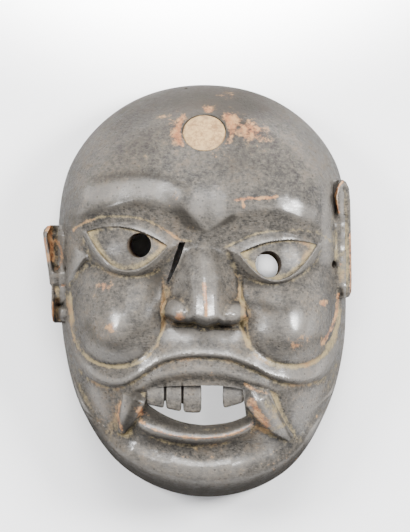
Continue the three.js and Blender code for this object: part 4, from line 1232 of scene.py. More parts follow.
@dataclass
class Marks:
    """All marks of age, painted shade and painted light, and the creases and eyes that gather dust of their
    own.
    """

    face: Face
    dust: Sequence[Streak | Spot] = (
        Streak(((-86, 39.8), (-69.8, 46.9), (-54.1, 47.8), (-39.1, 45.6), (-24.8, 38.5),
           (-16.3, 32.6), (-9, 32)), 1.0, 0.9),
        Streak(((13.7, 28), (22.8, 31.5), (32.6, 36), (49.6, 38.5), (63.9, 38.5), (77.6, 35.2),
           (82.2, 31)), 1.0, 0.6),
        Streak(((36, -68), (41, -76), (47, -84)), 3.0, 0.45),
        Streak(((22.5, 1), (25, -12), (27.5, -24), (28.5, -36)), 1.0, 0.95),
        Streak(((-27, 8), (-27, -10), (-27.5, -28)), 1.5, 0.55),
        Streak(((-90, -2), (-88.5, -12), (-86, -20)), 2.2, 0.7),
        Streak(((-60, -68), (-60.5, -80), (-61.5, -98)), 2.0, 0.5),
        Spot((46, -72), (5.0, 9.0), 0.6),
        Streak(((31, -89), (40, -92), (50, -88)), 2.6, 0.7),
        Spot((-48, -94), (7.0, 3.0), 0.4),
        Spot((-97.5, -3), (3.5, 5.0), 0.5),
        Spot((89, 10), (2.5, 5.0), 0.7),
        Streak(((85.5, 37), (85.5, 21)), 1.0, 0.6),
        Streak(((83, 48), (83.5, 20)), 2.5, 0.35),
        Streak(((79, -37), (85, -27), (88.5, -14)), 1.2, 0.7),
        Spot((90, 22), (4.0, 20.0), 0.5),
        Spot((-37, -70), (4.0, 3.0), 0.4),
        Spot((18, -68), (6.0, 5.0), 0.25),
        Spot((-20, -67), (10.0, 4.0), 0.25),
        Spot((-30, 88), (16.0, 10.0), 0.12),
    )
    wear: Sequence[Streak | Spot] = (
        Streak(((-86, 39), (-80, 43), (-72, 46)), 1.2, 0.6),
        Streak(((20, 58.5), (28, 59.5), (38, 59.5), (46, 60.5)), 1.3, 0.9),
        Spot((25, 54.5), (1.4, 3.0), 0.9),
        Spot((-19, 61), (2.5, 5.0), 0.5),
        Spot((-82, 55), (4.0, 2.5), 0.4),
        Streak(((-0.5, 4), (0.5, -6), (1, -16)), 1.6, 0.9),
        Spot((-16.5, -17), (4.5, 3.5), 0.9),
        Spot((17.5, -17), (2.5, 2.5), 0.4),
        Spot((-65, 2.5), (6.5, 4.0), 0.7),
        Spot((-60.5, -24), (4.5, 4.0), 0.8),
        Spot((62, -32), (11.0, 5.0), 0.45),
        Spot((58, -37), (4.0, 3.0), 0.5),
        Spot((77, -8.5), (3.0, 2.8), 1.0),
        Streak(((-42, -85.5), (-34, -90), (-24, -93.5), (-10, -95.8), (3, -96), (16, -94),
           (26, -90), (31, -86.5)), 1.2, 0.75),
        Streak(((26, -61), (33, -65), (40, -67)), 1.6, 0.6),
        Spot((4.5, -54.5), (2.0, 3.5), 0.5),
        Streak(((-55, -73), (-56.5, -83), (-54, -91)), 1.3, 0.7),
        Spot((-42, -79), (4.0, 5.0), 0.8),
        Streak(((30.5, -72), (34, -79), (40, -87)), 3.6, 0.8),
        Spot((73, -82.5), (2.5, 1.5), 0.5),
        Spot((26.0, -17), (1.6, 4.0), 0.6),
        Streak(((-40, -101), (-20, -107), (0, -109), (22, -107)), 1.6, 0.35),
        Spot((28, 104), (10.0, 8.0), 0.75),
        Spot((17.5, 112), (5.0, 5.0), 0.6),
        Spot((14, 127), (7.0, 3.0), 0.5),
        Spot((2, 117.5), (5.0, 3.0), 0.8),
        Spot((-20, 100), (5.0, 9.0), 0.5),
        Spot((-27, 112), (9.0, 6.0), 0.3),
        Spot((40, 98), (9.0, 9.0), 0.35),
        Spot((12, 88), (14.0, 4.0), 0.3),
        Spot((55, -112), (26.0, 12.0), 0.25),
        Streak(((-105, 33), (-104.5, 25), (-103, 19)), 1.2, 0.8),
        Streak(((-97.2, 32.6), (-93.8, 26), (-94.5, 16.5), (-98, 13)), 1.4, 0.6),
        Spot((-93, 2.8), (2.0, 1.5), 0.8),
        Streak(((-99.5, -8.5), (-99.5, -21)), 1.0, 0.8),
        Streak(((90, 71), (86.7, 66.5), (85.4, 60.6), (86.1, 54.8), (87.4, 50.2)), 1.0, 0.8),
        Streak(((94.8, 37), (95.2, 20), (95.4, -2)), 1.4, 0.7),
        Spot((88.5, 17), (1.5, 2.5), 0.6),
        Spot((92, 54), (2.0, 4.0), 0.35),
        Streak(((76, -35), (82, -26), (86, -14), (87, -3)), 1.6, 0.75),
        Streak(((-102, 42), (-100, 20)), 2.5, 0.8),
        Streak(((-15, 94), (-17.8, 103), (-14, 113)), 2.4, 0.75),
        Streak(((14.5, 95), (17.3, 104), (13.5, 113)), 2.2, 0.6),
        Spot((-15, 79), (9.0, 4.0), 0.18),
        Spot((10, 75), (10.0, 4.0), 0.2),
    )
    # Dark marks. Most of them darken places where shade falls: under the brows and between them, the sides of
    # the nose, the inner and lower cheeks, under the upper lip, the band under the lower lip and the low
    # chin. That is painted shade. The rest are dark grime on the fangs, in the gaps between the teeth, on the
    # ears and on the forehead, plus a darker band along the top of the crown.
    soot: Sequence[Streak | Spot] = (
        Streak(((34, -79), (42, -90)), 2.0, 0.5),
        Streak(((20, 12), (22, -2), (26.8, -14), (27, -24)), 1.2, 0.8),
        # Painted shadow of the upper lip, with dark grime, on the lower lip's inner slope.
        Streak(((-36, -79), (-27, -84.5), (-16, -89), (-3, -91), (8, -90.5), (18, -88.5),
           (26, -85)), 4.0, 1.0),
        Streak(((-44, -92), (-28, -99), (0, -102), (24, -98), (34, -90)), 4.0, 0.5),
        # Painted shade on the undersides of the brows.
        Streak(((-84, 46), (-72, 51), (-50, 56), (-28, 54), (-8, 44)), 5.0, 0.6),
        Streak(((14, 45), (35, 50), (55, 49), (72, 42)), 5.0, 0.35),
        Streak(((-36, 10), (-34, -8), (-37, -26)), 5.0, 0.4),
        Streak(((-76, -24), (-68, -34), (-54, -35), (-44, -28)), 5.0, 0.55),
        Streak(((20, -7), (36, -10), (52, -13)), 4.0, 0.7),
        Streak(((5, 26), (7, 12), (9, -2)), 3.0, 0.3),
        Spot((-32, -2), (7.0, 9.0), 0.25),
        Spot((-76, -6), (8.0, 9.0), 0.25),
        Streak(((24, 5), (40, 3.5), (56, 6)), 2.0, 0.5),
        Streak(((42, -33), (60, -36), (76, -31)), 4.0, 0.5),
        # Painted shade on the low chin, which faces down.
        Streak(((-74, -94), (-62, -111), (-46, -122), (-25, -131), (0, -135), (28, -131),
           (50, -122), (66, -108)), 10.0, 0.95),
        Streak(((-50, -70), (-34, -60.5), (-16, -57.5), (0, -57.3), (16, -58.5),
           (35, -63)), 3.0, 0.45),
        Streak(((-43.5, -70), (-47, -79), (-52, -90)), 4.2, 1.0),
        Streak(((41, -68.5), (47, -80), (56, -96)), 1.2, 0.8),
        Streak(((-25.9, -61), (-25.9, -76)), 0.9, 1.0),
        Streak(((-14.7, -61), (-14.7, -78)), 0.9, 1.0),
        Streak(((-101, 40), (-101, 30)), 3.2, 0.9),
        Streak(((-99.5, 28), (-99.5, 18)), 2.0, 0.8),
        Spot((-99.7, 15), (1.5, 2.5), 0.9),
        Streak(((-97.2, -9.8), (-97.2, -21)), 1.2, 0.9),
        Spot((-94.0, -10), (3.0, 1.5), 0.9),
        Streak(((-100, -21.5), (-92, -21)), 1.0, 0.9),
        Streak(((82.8, 60), (85.2, 48.5)), 2.4, 0.9),
        Streak(((82.5, 69), (84, 60)), 2.0, 0.5),
        Spot((85.4, 16.6), (2.5, 3.0), 0.9),
        Spot((89, -3.5), (2.0, 2.5), 0.9),
        Streak(((-74, 71), (-50, 74.5), (-28, 73), (-12, 66)), 3.4, 0.45),
        Spot((84, 4), (5.0, 10.0), 0.35),
        Streak(((8, 22), (11, 6), (14, -8)), 4.0, 0.35),
        Streak(((-24, 62), (-14, 51), (-8, 43)), 4.0, 0.5),
        Streak(((-82, -64), (-76, -84)), 6.0, 0.4),
        Spot((21, 98), (16.0, 22.0), 0.3),
        Spot((8, 124), (60.0, 18.0), 0.95),
        Spot((-50, 98), (26.0, 26.0), 0.45),
        Spot((16, 80), (26.0, 12.0), 0.35),
        Streak(((-14, 44), (-5, 40.5), (1.8, 38), (9, 42), (18, 47)), 2.2, 0.7),
        Spot((-29, 8), (4.0, 7.0), 0.7),
        Spot((38, -50), (13.0, 5.0), 0.7),
        Streak(((-26, -8), (-28, -24)), 2.0, 0.5),
    )
    # Light marks. They lay a paler grey over the patina where light and highlights fall: the brow rolls,
    # between the brows, the cheek peaks, the nose, the folds, the chin, the right lid wall and the temple.
    # That is painted light and painted highlight. They also add real gloss through the coat.
    polish: Sequence[Streak | Spot] = (
        Streak(((-72, 61.5), (-60, 64.5), (-45, 66.5), (-32, 65.5), (-21, 60.5)), 4.6, 1.4),
        Streak(((-75, -56), (-70, -75), (-62, -92)), 6.0, 0.7),
        Streak(((76, -54), (70, -75), (60, -92)), 7.0, 0.6),
        Spot((2, 58), (12.0, 8.0), 0.35),
        Streak(((50, 57), (60, 54), (69, 50)), 3.4, 0.8),
        Spot((-5, 54), (4.5, 7.0), 0.8),
        Spot((8.5, 55), (4.0, 7.5), 0.8),
        Spot((-56, -20), (5.5, 5.0), 0.9),
        Spot((61, -23), (10.0, 7.0), 0.9),
        Spot((40, -23), (7.0, 8.0), 0.5),
        Spot((-15, -12), (6.0, 4.0), 0.9),
        Spot((17, -15), (4.0, 3.0), 0.7),
        Streak(((-44, -99), (-28, -108), (0, -116), (30, -108), (50, -98)), 7.0, 0.55),
        Spot((42, -94), (9.0, 6.0), 0.6),
        Spot((-36, -92), (9.0, 5.0), 0.6),
        Streak(((80, 33), (74, 24)), 4.0, 0.5),
        Streak(((83, 72), (81, 45)), 3.4, 1.0),
        # Painted light in the shadow under the nose.
        Streak(((-28, -29), (0, -27.5), (22, -29)), 4.0, 0.9),
        Streak(((-74, -38), (-60, -45), (-42, -43)), 4.0, 0.9),
        Streak(((58, -52), (70, -52), (80, -47), (86, -37)), 3.6, 1.0),
        Streak(((-36, -66), (0, -67), (24, -66)), 4.0, 0.7),
        Streak(((-78, 22), (-88, 8)), 4.5, 1.2),
        Spot((60, -74), (8.0, 18.0), 0.4),
        Streak(((-14, 24), (-18, 8), (-21, -4)), 5.0, 0.8),
        Streak(((20, 22), (28, 14), (42, 9)), 3.0, 0.8),
        Spot((74, 22), (9.0, 9.0), 0.6),
        Streak(((34, -41), (52, -48), (72, -44)), 4.0, 0.6),
    )

    def crease_dust(self, x: Array, y: Array) -> Array:
        """Dust in the cheek creases and inside the lids, as bells of their own distances."""
        total = np.zeros(x.shape)
        for cheek, width in ((self.face.left_cheek, 1.0), (self.face.right_cheek, 1.5)):
            gap = (cheek.edge(x, y) - 1.0) * cheek.half_width
            low = 1.0 - smooth_step(-12.0, 4.0, y)
            total += low * np.exp(-((gap + 0.2) / width) ** 2)
        for eye in (self.face.left_eye, self.face.right_eye):
            above, below = eye.distances(x, y)
            u, _, _ = eye.local(x, y)
            depth = np.maximum(above, below)
            near = np.exp(-((depth + 2.4) / 2.4) ** 2) * (depth < 0.0)
            corner = smooth_step(0.35, 1.0, np.abs(u)) + 0.75 * (below > above)
            total += 1.05 * near * np.clip(corner, 0.25, 1.0)
        return total

    def lid_wall_shade(self, x: Array, y: Array) -> Array:
        """Painted shade on the steep wall under each lower lid, which faces down."""
        total = np.zeros(x.shape)
        for eye in (self.face.left_eye, self.face.right_eye):
            above, below = eye.distances(x, y)
            total += 0.3 * np.exp(-((below - 6.5) / 3.0) ** 2) * (below > above)
        return total

    def amounts(self, kind: Mark, x: Array, y: Array) -> Array:
        """Sum of the marks of one kind, held between 0 and 1."""
        total = sum(mark.amount(x, y) for mark in getattr(self, kind.value))
        if kind is Mark.DUST:
            total = total + self.crease_dust(x, y)
        if kind is Mark.SOOT:
            total = total + self.lid_wall_shade(x, y)
        return np.clip(total, 0.0, 1.0)

    def total(self, x: Array, y: Array) -> Array:
        """All marks together, to find where small triangles are needed."""
        return sum(self.amounts(kind, x, y) for kind in Mark)


@dataclass
class ReliefMap:
    """How far each place of the front lies over or under its own smoothed surface.

    Attributes:
        face: the face.
        ears: the ears beside it.
        cutters: the openings through it.
        blur: reach of the smoothing, as the deviation of a Gaussian.
    """

    face: Face
    ears: Sequence["Ear"]
    cutters: Sequence["Cutter"]
    blur: float
    reach: float = 140.0
    step: float = 0.7
    near_range: Point = (0.62, 0.9)
    least_near: float = 0.05

    def __post_init__(self) -> None:
        """Work the map out: the height less the mean of the heights round it, wood only."""
        self.line = np.arange(-self.reach, self.reach + self.step, self.step)
        x, y = np.meshgrid(self.line, self.line)
        dome = self.face.dome
        share = dome.share_at(x, y)
        height = self.face.height(x, y, share) - dome.height(share)
        wood = (share < 0.995).astype(float)
        for ear in self.ears:
            height, wood = ear.over(x, y, height, wood)
        for cutter in self.cutters:
            wood *= 1.0 - cutter.covers(x, y)
        near = self.smooth(wood)
        mean = self.smooth(height * wood) / np.maximum(near, self.least_near)
        self.over = smooth_step(*self.near_range, near) * (height - mean)

    def smooth(self, values: Array) -> Array:
        """Gaussian blur along both directions of the grid."""
        half = int(3.0 * self.blur / self.step)
        kernel = np.exp(-(np.arange(-half, half + 1) * self.step / self.blur) ** 2 / 2.0)
        kernel /= kernel.sum()
        for axis in (0, 1):
            values = np.apply_along_axis(np.convolve, axis, values, kernel, mode="same")
        return values

    def at(self, x: Array, y: Array) -> Array:
        """Value of the map at places, blended between its four nearest points."""
        u = np.clip((x + self.reach) / self.step, 0.0, len(self.line) - 1.001)
        v = np.clip((y + self.reach) / self.step, 0.0, len(self.line) - 1.001)
        i, j = u.astype(int), v.astype(int)
        a, b = u - i, v - j
        low = self.over[j, i] * (1.0 - a) + self.over[j, i + 1] * a
        high = self.over[j + 1, i] * (1.0 - a) + self.over[j + 1, i + 1] * a
        return low * (1.0 - b) + high * b


@dataclass
class MaskBuilder:
    """The whole mask: wall, ears and teeth joined, then the openings cut."""

    shell: Shell = field(default_factory=Shell)
    ears: Sequence[Ear] = field(default_factory=lambda: (
        Ear(-1.0, 84.0,
            edge=((42.4, 100.0), (41.9, 103.0), (39.8, 105.3), (37.2, 106.0), (32.6, 105.5), (26, 104.5),
                  (19.6, 103.6), (13, 102.6), (6.5, 101.9), (4, 101.6), (2.4, 100.4), (-9.8, 100.6),
                  (-16.3, 100.4), (-20.6, 99.6), (-21.6, 98.2)),
            rim=((42.4, 100.5), (36, 103.4), (20, 101.2), (12, 99.0), (5, 99.0), (-21.6, 98.6)),
            crest=((42.4, 33.0), (36, 39.0), (20, 38.5), (12, 36.0), (4, 35.0), (-6, 34.0), (-21.6, 33.0)),
            outer_fall=0.9,
            bowl=10.0,
            inner_fall=((42.4, 3.0), (38, 10.0), (20, 9.0), (14, 4.0), (11, 0.0), (-21.6, 0.5)),
            patches=(
                Patch((70, -30), (99, 3.2), -2.2, 1.6),
                Patch((95.0, -21), (98.4, -6.0), -5.0, 1.4),
                Patch((70, -11.6), (97.0, -9.0), -4.5, 1.2),
                Patch((88, -18.5), (95.5, -12), 5.5, 1.8),
                Patch((88, -7), (94.0, 2.0), 3.0, 2.4),
                Patch((95.5, 11.5), (99, 15.5), -3.5),
            )),
        Ear(1.0, 83.0,
            edge=((71.9, 90.0), (70.6, 92.0), (66.5, 94.0), (58.7, 94.8), (48.9, 95.1), (36, 95.4),
                  (19.6, 95.7), (6.5, 95.9), (-1.3, 95.7), (-4.4, 94.3), (-5.4, 91.5)),
            rim=((71.9, 88.5), (66.5, 86.5), (60.6, 85.6), (55.4, 85.9), (50.2, 87.0), (47, 86.0),
                 (-5.4, 86.0)),
            crest=((71.9, 46.0), (67, 51.5), (58, 53.0), (50, 51.0), (45, 49.0), (20, 47.0), (-5.4, 44.0)),
            outer_fall=0.75,
            bowl=9.0,
            inner_fall=((71.9, 4.0), (68, 10.0), (58, 11.0), (52, 12.0), (48.5, 0.0), (-5.4, 0.0)),
            patches=(
                Patch((87.0, -4.5), (89.5, 1.0), -3.4, 1.5),
                Patch((89, 47), (93, 58), -0.9, 1.8),
                Patch((86, 20), (90, 46), -1.0, 2.0),
                Patch((91.5, -3), (95, 3.5), 1.2, 1.4),
            )),
    ))
    teeth: Sequence[Tooth] = (
        Tooth(-38.0, -26.4, (-74.0, -77.0)),
        Tooth(-25.4, -15.2, (-77.0, -79.0)),
        Tooth(-14.2, -2.3, (-79.5, -79.8)),
        Tooth(11.6, 25.5, (-77.0, -73.0)),
        Tooth(-36.0, -3.5, (-70.5, -75.5), low=64.0, high=70.6),
    )
    mouth_top: Sequence[Point] = (
        (-38, -70), (-34, -64.5), (-24, -62.5), (-1.5, -62), (13, -62.5), (24.5, -64.5))
    mouth_bottom: Sequence[Point] = (
        (26.7, -82.0), (18, -85.5), (8, -87.3), (-3, -87.8), (-16, -85.5), (-27, -81), (-36.5, -75))
    slit: Sequence[Point] = ((-16.8, 31.0), (-12.8, 31.0), (-14.3, 26.0), (-17.0, 18.3), (-20.2, 11.7),
                             (-24.0, 3.6), (-25.2, 5.0), (-23.8, 9.3), (-21.8, 14.3), (-19.8, 22.2),
                             (-18.0, 26.7))
    pupils: Sequence[tuple[Point, float, Point]] = (
        ((-43.0, 29), 8.0, (6, 0)), ((41.2, 16.8), 8.7, (-5, -5)))
    cord_holes: Sequence[tuple[Sequence[float], Sequence[float], float]] = (
        ((-12.5, 140, 26), (-12.5, 108, 14), 1.5),
        ((92.0, 15.6, 56.0), (66.0, 19.4, 29.0), 2.6),
        ((-100, 13.5, 44), (-76, 13.5, 26), 1.8),
    )

    def openings(self) -> list[Cutter]:
        """Straight cuts for the mouth and for the slit beside the nose."""
        mouth = np.concatenate([CarvedLine(self.mouth_top).curve(), CarvedLine(self.mouth_bottom).curve()])
        return [Cutter(mouth), Cutter(np.array(self.slit, float))]

    def cutters(self, disc: "Disc") -> list[bpy.types.Object]:
        """Objects that cut the mouth, the slit, the sight holes, the cord holes and the socket."""
        made = [make_object(f"cut_{i}", *opening.build()) for i, opening in enumerate(self.openings())]
        depth = self.shell.face.dome.depth
        rods = [rod((x - dx, y - dy, 1.5 * depth), (x + dx, y + dy, 0.5 * depth), radius)
                for (x, y), radius, (dx, dy) in self.pupils]
        rods += [rod(start, end, radius) for start, end, radius in self.cord_holes]
        rods.append(disc.socket())
        return made + [shape.make(f"cut_rod_{i}") for i, shape in enumerate(rods)]

    def build(self, marks: Marks, disc: "Disc") -> bpy.types.Object:
        """Join and cut the wood.

        Args:
            marks: colours on the face.
            disc: the forehead disc, for its socket.

        Returns:
            The mask, in millimetres of the carving.
        """
        wall = self.shell.build(marks)
        LOG.info("shell: %d triangles", len(wall.triangles))
        body = wall.make("carved_mask")
        cutters = self.cutters(disc)
        ears = [ear.build().make(f"add_ear_{i}") for i, ear in enumerate(self.ears)]
        teeth = [tooth.build().make(f"add_tooth_{i}") for i, tooth in enumerate(self.teeth)]
        for objects, operation in ((ears, "UNION"), (cutters, "DIFFERENCE"), (teeth, "UNION")):
            for tool in objects:
                change = body.modifiers.new(tool.name, "BOOLEAN")
                change.operation = operation
                change.solver = "MANIFOLD"
                change.object = tool
        settled = bpy.data.meshes.new_from_object(body.evaluated_get(bpy.context.evaluated_depsgraph_get()))
        body.modifiers.clear()
        body.data = settled
        for tool in (*cutters, *ears, *teeth):
            bpy.data.objects.remove(tool)
        return body


@dataclass
class Disc:
    """The pale round disc let into the forehead.

    Attributes:
        face: the face that it is let into.
        at: its middle.
        radius: its radius.
        thickness: how thick it is in the middle.
        sunk: how far its middle lies under the wood.
        crown: how much lower its edge lies than its middle.
    """

    face: Face
    at: Point = (-0.5, 103.0)
    radius: float = 14.0
    thickness: float = 2.2
    sunk: float = 0.7
    crown: float = 0.7
    gap: float = 0.3
    unevenness: float = 0.02
    fibre_height: float = 0.10
    edge_fall: float = 0.25

    def seat(self) -> tuple[Array, Array, Array, Array]:
        """Middle of the seat on the wood, and the axes across, up and out of it."""
        x, y = (np.array([value]) for value in self.at)
        step = self.radius / 2.0

        def height(px: Array, py: Array) -> float:
            return float(self.face.height(px, py, self.face.dome.share_at(px, py))[0])

        slope_x = (height(x + step, y) - height(x - step, y)) / (2.0 * step)
        slope_y = (height(x, y + step) - height(x, y - step)) / (2.0 * step)
        out = np.array([-slope_x, -slope_y, 1.0]) / math.sqrt(slope_x ** 2 + slope_y ** 2 + 1.0)
        across = np.cross((0.0, 1.0, 0.0), out)
        across /= np.linalg.norm(across)
        return np.array([*self.at, height(x, y)]), across, np.cross(out, across), out

    def socket(self) -> Shape:
        """Round cutter for the seat, from above the wood down to under the disc."""
        middle, _, _, out = self.seat()
        depth = self.sunk + self.thickness + self.gap
        return rod(middle - out * depth, middle + out * 6.0, self.radius + self.gap, sides=120)

    def build(self) -> bpy.types.Object:
        """Crowned disc with a slightly uneven edge and a rough, fibrous top.

        Returns:
            The disc, in millimetres of the carving. Rings run from the middle of the
            underside round the edge to the middle of the top.
        """
        turn = np.linspace(0.0, 2.0 * math.pi, 160, endpoint=False)
        noise = LatticeNoise(23)
        edge_noise = noise.layered(level_points(np.cos(turn), np.sin(turn)), 0.5, 2)
        uneven = 1.0 - self.unevenness * (1.0 + edge_noise) / 2.0
        shares = np.concatenate([np.linspace(0.04, 1.0, 12), [1.0], np.linspace(0.985, 0.03, 46)])
        underside = (np.arange(len(shares)) < 12)[:, None]
        r = self.radius * shares[:, None] * np.where(shares[:, None] > 0.9, uneven, 1.0)
        a, b = r * np.cos(turn), r * np.sin(turn)
        level = -self.sunk - self.crown * (r / self.radius) ** 2
        fibres = noise.layered(level_points(a / 3.0, b), 0.9, 3).reshape(a.shape)
        edge_fall = self.edge_fall * smooth_step(0.94, 1.0, r / self.radius)
        level = level + self.fibre_height * (fibres - 1.0) - edge_fall
        height = np.where(underside, -self.sunk - self.thickness, level)
        middle, across, up, out = self.seat()
        rings = middle + a[..., None] * across + b[..., None] * up + height[..., None] * out
        return facing_out(closed_tube(rings)).make("forehead_disc")


# Finishes

def new_socket(group: bpy.types.NodeTree, name: str, kind: str, into: bool,
               default: float | None = None) -> None:
    """Add an input or an output to a node group."""
    socket = group.interface.new_socket(name, in_out="INPUT" if into else "OUTPUT", socket_type=kind)
    if default is not None:
        socket.default_value = default


class Nodes:
    """Short ways to add and join shader nodes in one tree."""

    def __init__(self, tree: bpy.types.NodeTree) -> None:
        """Keep the tree that nodes are added to."""
        self.tree = tree

    def add(self, kind: str, **settings: object) -> bpy.types.Node:
        """Add a node and set its properties."""
        node = self.tree.nodes.new(kind)
        for name, value in settings.items():
            setattr(node, name, value)
        return node

    def join(self, source: object, target: bpy.types.NodeSocket) -> None:
        """Link a socket to an input, or set the input to a plain value."""
        if isinstance(source, bpy.types.NodeSocket):
            self.tree.links.new(source, target)
        else:
            target.default_value = source

    def maths(self, operation: str, a: object, b: object = 0.0,
              clamp: bool = False) -> bpy.types.NodeSocket:
        """One sum, product or other operation on two values."""
        node = self.add("ShaderNodeMath", operation=operation, use_clamp=clamp)
        self.join(a, node.inputs[0])
        self.join(b, node.inputs[1])
        return node.outputs[0]

    def spread(self, value: object, low: float, high: float,
               to: Point = (0.0, 1.0)) -> bpy.types.NodeSocket:
        """Eased change of a value between two limits to a new range."""
        node = self.add("ShaderNodeMapRange", interpolation_type="SMOOTHSTEP", clamp=True)
        for source, socket in zip((value, low, high, to[0], to[1]), node.inputs):
            self.join(source, socket)
        return node.outputs[0]

    def mix(self, share: object, a: object, b: object) -> bpy.types.NodeSocket:
        """Blend of two colours."""
        node = self.add("ShaderNodeMix", data_type="RGBA")
        self.join(share, node.inputs["Factor"])
        for source, name in ((a, "A"), (b, "B")):
            target = next(s for s in node.inputs if s.name == name and s.type == "RGBA")
            self.join(source, target)
        return next(s for s in node.outputs if s.type == "RGBA")

    def weighted(self, *terms: tuple[object, float], clamp: bool = False) -> bpy.types.NodeSocket:
        """Sum of values, each times its weight."""
        first, *others = (self.maths("MULTIPLY", value, weight) for value, weight in terms)
        for term in others:
            first = self.maths("ADD", first, term, clamp=clamp)
        return first

    def product(self, first: object, *others: object) -> bpy.types.NodeSocket:
        """Values times one another."""
        for value in others:
            first = self.maths("MULTIPLY", first, value)
        return first

    def without(self, value: object, weight: float = 1.0) -> bpy.types.NodeSocket:
        """What is left of 1 less a weighted value."""
        return self.maths("SUBTRACT", 1.0, self.maths("MULTIPLY", value, weight))

    def lay(self, colour: object, share: object, weight: float, over: object) -> bpy.types.NodeSocket:
        """Colour with another one laid over a weighted share of it."""
        return self.mix(self.maths("MULTIPLY", share, weight), colour, over)

    def bump(self, shader: bpy.types.Node, height: object, strength: float, distance: float) -> None:
        """Bend the shader's normal by a height in metres."""
        node = self.add("ShaderNodeBump")
        node.inputs["Strength"].default_value = strength
        node.inputs["Distance"].default_value = distance
        self.join(height, node.inputs["Height"])
        self.join(node.outputs["Normal"], shader.inputs["Normal"])

    def noise(self, place: object, scale: float, detail: float, rough: float) -> bpy.types.NodeSocket:
        """Fractal noise value at a place."""
        node = self.add("ShaderNodeTexNoise")
        self.join(place, node.inputs["Vector"])
        for name, value in (("Scale", scale), ("Detail", detail), ("Roughness", rough)):
            node.inputs[name].default_value = value
        return node.outputs["Fac"]

    def stretched(self, place: object, scale: Sequence[float], turn: float = 0.0) -> bpy.types.NodeSocket:
        """Place turned about the upright axis and scaled along each axis, for grain and streaks."""
        node = self.add("ShaderNodeMapping")
        self.join(place, node.inputs["Vector"])
        node.inputs["Rotation"].default_value = (0.0, 0.0, turn)
        node.inputs["Scale"].default_value = scale
        return node.outputs[0]

    def attribute(self, name: str) -> bpy.types.NodeSocket:
        """Value of a mesh attribute."""
        return self.add("ShaderNodeAttribute", attribute_name=name).outputs["Fac"]

    def old_wood(self, surface: bpy.types.NodeTree, grain: float) -> bpy.types.Node:
        """The shared group for old wood, read at the object's own coordinates."""
        wood = self.add("ShaderNodeGroup")
        wood.node_tree = surface
        self.join(self.add("ShaderNodeTexCoord").outputs["Object"], wood.inputs["Place"])
        wood.inputs["Grain"].default_value = grain
        return wood


def new_material(name: str) -> tuple[bpy.types.Material, bpy.types.Node, Nodes]:
    """A material, its Principled shader and the helper of its tree."""
    material = bpy.data.materials.new(name)
    material.use_nodes = True
    return material, material.node_tree.nodes["Principled BSDF"], Nodes(material.node_tree)


def surface_group() -> bpy.types.NodeTree:
    """Mottle, specks, grain, scratches and pits of old wood, shared by every finish.

    Returns:
        A group with inputs for place and grain, and outputs for broad and fine mottle,
        specks, grain, scratches and pits, each between 0 and 1.
    """
    group = bpy.data.node_groups.new("old_wood_surface", "ShaderNodeTree")
    new_socket(group, "Place", "NodeSocketVector", True)
    new_socket(group, "Grain", "NodeSocketFloat", True, 1.0)
    for name in ("Broad", "Fine", "Specks", "Grain", "Scratches", "Pits"):
        new_socket(group, name, "NodeSocketFloat", False)
    nodes = Nodes(group)
    inputs = nodes.add("NodeGroupInput")
    outputs = nodes.add("NodeGroupOutput")
    place = inputs.outputs["Place"]
    mottles = {"Broad": (26.0, 4.0, 0.62), "Fine": (190.0, 4.0, 0.65), "Specks": (470.0, 3.0, 0.7)}
    for name, settings in mottles.items():
        nodes.join(nodes.noise(place, *settings), outputs.inputs[name])
    grain = nodes.noise(nodes.stretched(place, (900.0, 110.0, 500.0)), 1.0, 4.0, 0.6)
    share = nodes.maths("MULTIPLY", nodes.maths("SUBTRACT", grain, 0.5), inputs.outputs["Grain"])
    nodes.join(nodes.maths("ADD", share, 0.5, clamp=True), outputs.inputs["Grain"])
    strokes = nodes.noise(nodes.stretched(place, (260.0, 900.0, 260.0), 0.5), 1.0, 3.0, 0.7)
    nodes.join(nodes.spread(strokes, 0.50, 0.72), outputs.inputs["Scratches"])
    pits = nodes.add("ShaderNodeTexVoronoi", feature="F1")
    pits.inputs["Scale"].default_value = 330.0
    pits.inputs["Randomness"].default_value = 1.0
    nodes.join(place, pits.inputs["Vector"])
    nodes.join(nodes.spread(pits.outputs["Distance"], 0.12, 0.34), outputs.inputs["Pits"])
    return group


